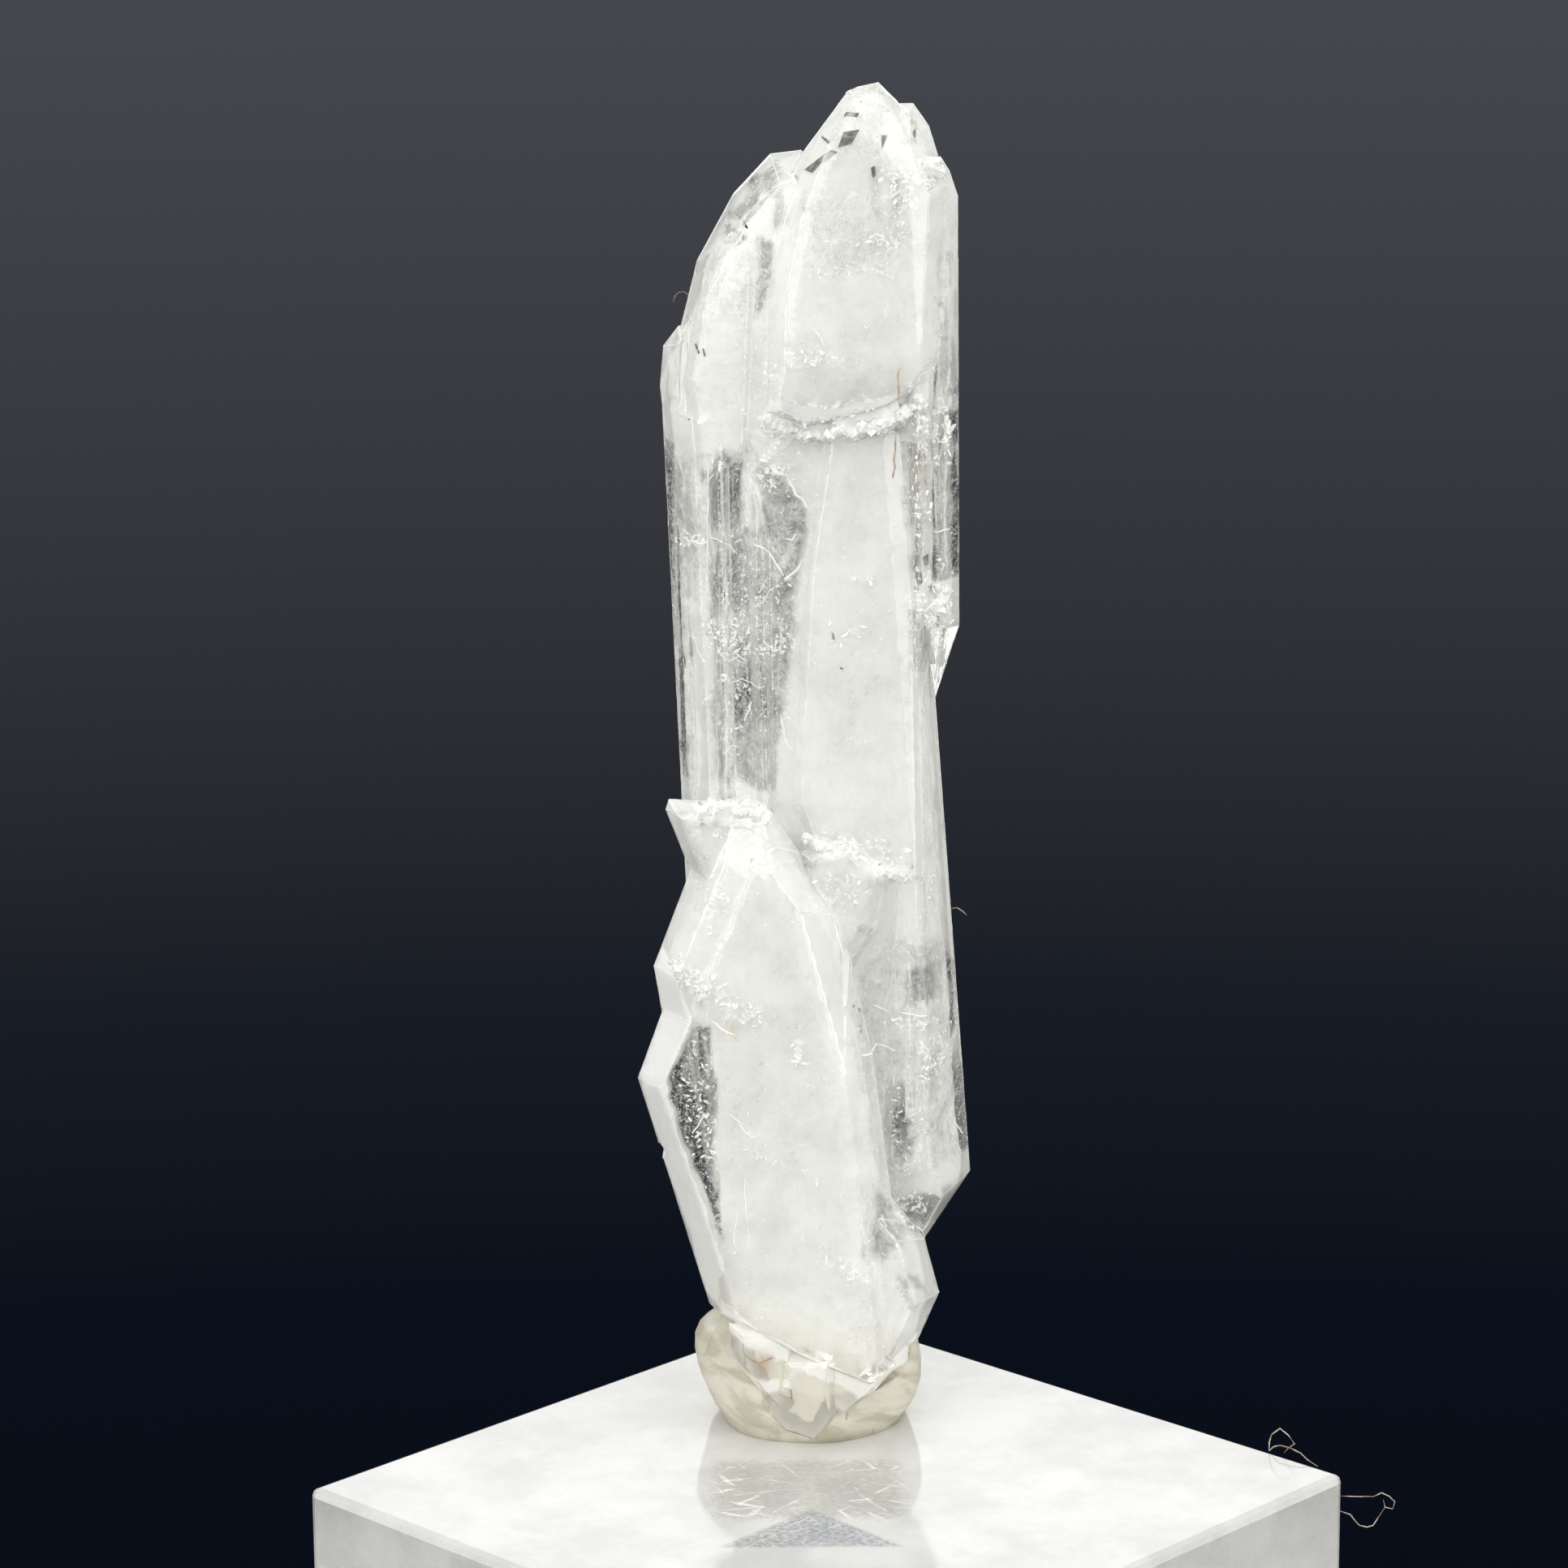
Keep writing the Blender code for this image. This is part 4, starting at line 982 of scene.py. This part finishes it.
def acrylic_material():
    """Clear acrylic whose faces are scuffed white all over, most on top, where a painted reflection
    of the dark room darkens it.
    """
    made = Nodes("acrylic", IOR=1.49)
    top = made.remap(made.facing("Z"), 0.4, 0.8)
    scuffs = made.noise(made.place(), 0.18, 5.0, 0.6)
    dust = made.noise(made.place(), 3.0, 4.0, 0.7)
    x, y, _ = made.split(made.place())
    # Painted reflection: the patch, its border made ragged by the dust noise.
    middle_x, middle_y, half_x, half_y = PAINTED_REFLECTION_PATCH
    wide = made.math("ABSOLUTE", made.minus(x, middle_x))
    deep = made.math("ABSOLUTE", made.minus(y, middle_y))
    wide = made.plus(wide, made.times(made.minus(dust, 0.5), 2.0))
    deep = made.plus(deep, made.times(made.minus(dust, 0.5), 2.0))
    patch = made.times(made.remap(wide, half_x - 0.5, half_x + 0.9, 1.0, 0.0),
                       made.remap(deep, half_y - 0.6, half_y + 0.8, 1.0, 0.0))
    # Painted reflection: the triangle, thinned in blotches by the dust noise.
    middle_x, apex, base, spread = PAINTED_REFLECTION_TRIANGLE
    reach = made.times(made.minus(apex, y), spread)
    inside = made.minus(reach, made.math("ABSOLUTE", made.minus(x, middle_x)))
    triangle = made.times(made.remap(inside, 0.0, 0.6), made.remap(y, base - 0.1, base + 0.3))
    triangle = made.times(triangle, made.remap(dust, 0.36, 0.62, 1.0, 0.35))
    painted_reflection = made.times(made.math("MAXIMUM", patch, triangle), top)
    scratch = 0.0
    for turn in (0.4, 1.1, 2.3, 2.9):
        lines = made.noise(made.place((0.3, 2.4, 2.4), (0.0, 0.0, turn)), 1.4, 3.0, 0.5)
        scratch = made.plus(made.remap(lines, 0.62, 0.7, 0.0, 0.5), scratch)
    # The scratches show mostly inside the painted reflection.
    scratch = made.times(scratch, made.plus(made.times(painted_reflection, 0.9), 0.08))
    white = made.plus(made.times(top, 0.32), made.remap(scuffs, 0.3, 0.7, 0.34, 0.5))
    white = made.math("ADD", white, made.times(scratch, 0.5), clamp=True)
    made.drive(made.minus(1.0, white), "Transmission Weight")
    made.drive(made.plus(made.times(scratch, 0.3), 0.07), "Roughness")
    # Base colours: pale acrylic, darkened by the painted reflection in the patch and tinted blue by
    # it in the triangle, then whitened by scratches.
    pale, painted_reflection_grey, blue = srgb(251, 250, 246), srgb(216, 214, 206), srgb(176, 181, 187)
    colour = made.blend(made.times(patch, made.remap(dust, 0.4, 0.6, 1.0, 0.7)), pale, painted_reflection_grey)
    colour = made.blend(triangle, colour, blue)
    colour = made.blend(scratch, colour, srgb(254, 254, 249))
    made.drive(made.blend(top, pale, colour), "Base Color")
    normal = made.bump(dust, 0.05, 0.05)
    made.drive(made.bump(scratch, 0.2, 0.05, normal), "Normal")
    return made.material


# Lint that clings to the block's corner and to the crystals: each fibre's radius, then points
# along it
LINT = [
    (0.035, (25.6, 1.5, 0.0), (25.1, 2.0, 0.2), (24.8, 2.4, 0.4), (24.3, 2.9, 0.5),
     (23.8, 3.3, 0.5), (23.5, 3.6, 0.3), (23.3, 3.8, 0.0), (23.3, 3.9, 0.4), (23.4, 3.8, 0.9),
     (23.8, 3.4, 1.4), (24.2, 2.9, 1.2), (24.5, 2.7, 0.8), (24.2, 2.9, 0.5), (24.0, 3.2, 0.1)),
    (0.03, (26.6, 0.4, -1.2), (27.6, 0.3, -1.2), (28.4, 0.3, -1.2), (28.8, 0.3, -1.0),
     (29.2, 0.3, -1.2), (29.5, 0.3, -1.5), (29.4, 0.3, -1.9), (29.0, 0.3, -1.8), (28.9, 0.3, -1.4)),
    (0.03, (26.6, 0.4, -2.0), (27.2, 0.3, -2.2), (27.5, 0.3, -2.6), (27.7, 0.3, -2.8),
     (28.1, 0.3, -2.9), (28.4, 0.3, -2.8), (28.7, 0.3, -2.3), (29.0, 0.3, -1.8)),
    (0.025, (-6.65, 10.9, 60.3), (-6.95, 10.8, 60.5), (-7.2, 10.7, 60.5), (-7.4, 10.7, 60.3),
     (-7.5, 10.7, 60.0)),
    (0.025, (6.6, 8.2, 28.4), (6.8, 8.2, 28.5), (7.0, 8.2, 28.5), (7.3, 8.2, 28.3),
     (7.5, 8.2, 28.1)),
]


def build_lint():
    bm = bmesh.new()
    for radius, *course in LINT:
        add_tube(bm, [spot(*place) for place in course], radius)
    fluff = blotched("lint", 1.2, 3.0, srgb(140, 112, 88), srgb(214, 204, 188), Roughness=0.9)
    new_piece("lint", bm, fluff)


# ---------------------------------------------------------------- stage

def build_floor():
    bm = bmesh.new()
    bmesh.ops.create_cone(bm, cap_ends=True, segments=128, radius1=FLOOR_RADIUS * MM,
                          radius2=FLOOR_RADIUS * MM, depth=FLOOR_THICKNESS * MM)
    bm.transform(Matrix.Translation((0.0, 0.0, -0.5 * FLOOR_THICKNESS * MM)))
    mesh = bpy.data.meshes.new("floor")
    bm.to_mesh(mesh)
    bm.free()
    floor = new_object("floor", mesh)
    made = Nodes("floor_paint", Base_Color=(*srgb(205, 205, 203), 1.0), Roughness=0.7)
    mesh.materials.append(made.material)


# Soft boxes: name, place and aim in millimetres, width and height, power in watts
MIDDLE = (-1.0, 9.0, 74.0)
LIGHTS = [
    ("back_softbox", (0.0, 300.0, 165.0), (0.0, 0.0, 60.0), 300.0, 140.0, 0.22),
    ("overhead", (0.0, -40.0, 430.0), MIDDLE, 420.0, 420.0, 0.95),
    ("front_left", (-190.0, -380.0, 215.0), MIDDLE, 460.0, 420.0, 1.2),
    ("front_right", (270.0, -330.0, 160.0), MIDDLE, 360.0, 380.0, 0.8),
    ("side_left", (-340.0, 20.0, 150.0), MIDDLE, 120.0, 260.0, 0.32),
    ("side_right", (340.0, 20.0, 150.0), MIDDLE, 120.0, 260.0, 0.3),
]


def area_light(name, place, target, width, height, power):
    """A soft box, placed and aimed in millimetres, that the camera itself doesn't see."""
    light = bpy.data.lights.new(name, "AREA")
    light.shape = "RECTANGLE"
    light.size, light.size_y = width * MM, height * MM
    light.energy = power
    lamp = new_object(name, light)
    start, end = Vector(place) * MM, Vector(target) * MM
    turn = (end - start).to_track_quat("-Z", "Y").to_matrix().to_4x4()
    lamp.matrix_world = Matrix.Translation(start) @ turn
    lamp.visible_camera = False


def build_lights():
    for light in LIGHTS:
        area_light(*light)


def build_world():
    world = bpy.data.worlds.new("backdrop")
    world.use_nodes = True
    bpy.context.scene.world = world
    tree = world.node_tree
    coordinates = tree.nodes.new("ShaderNodeTexCoord")
    split = tree.nodes.new("ShaderNodeSeparateXYZ")
    tree.links.new(coordinates.outputs["Generated"], split.inputs[0])
    lowest, highest = BACKDROP[0][0], 1.0
    share = tree.nodes.new("ShaderNodeMapRange")
    share.inputs["From Min"].default_value = lowest
    share.inputs["From Max"].default_value = highest
    tree.links.new(split.outputs["Z"], share.inputs["Value"])
    ramp = tree.nodes.new("ShaderNodeValToRGB")
    stops = [*BACKDROP, (highest, OVERHEAD_GLOW)]
    while len(ramp.color_ramp.elements) < len(stops):
        ramp.color_ramp.elements.new(0.5)
    for element, (height, colour) in zip(ramp.color_ramp.elements, stops):
        element.position = (height - lowest) / (highest - lowest)
        element.color = (*srgb(*colour), 1.0)
    tree.links.new(share.outputs["Result"], ramp.inputs["Fac"])
    tree.links.new(ramp.outputs["Color"], tree.nodes["Background"].inputs["Color"])


def build_camera():
    data = bpy.data.cameras.new("camera")
    data.lens = CAMERA_LENS
    data.sensor_width = CAMERA_SENSOR
    data.clip_start = CAMERA_NEAR
    camera = new_object("camera", data)
    pitch = Matrix.Rotation(math.radians(90.0) + CAMERA_PITCH, 4, "X")
    aimed = Matrix.Translation(CAMERA_PLACE * MM) @ pitch
    camera.matrix_world = aimed @ Matrix.Rotation(CAMERA_ROLL, 4, "Z")
    bpy.context.scene.camera = camera


def main():
    build_camera()
    build_world()
    build_lights()
    build_floor()
    build_skin()
    build_veil()
    build_cloud()
    build_thread()
    skin = crystal_tree()
    build_flecks(skin)
    build_painted_dark_gaps_and_stains(skin)
    build_putty(skin)
    build_lint()
    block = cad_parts["acrylic_block"]
    block.data.materials.clear()
    block.data.materials.append(acrylic_material())
    bpy.context.scene.view_settings.view_transform = "Standard"


main()
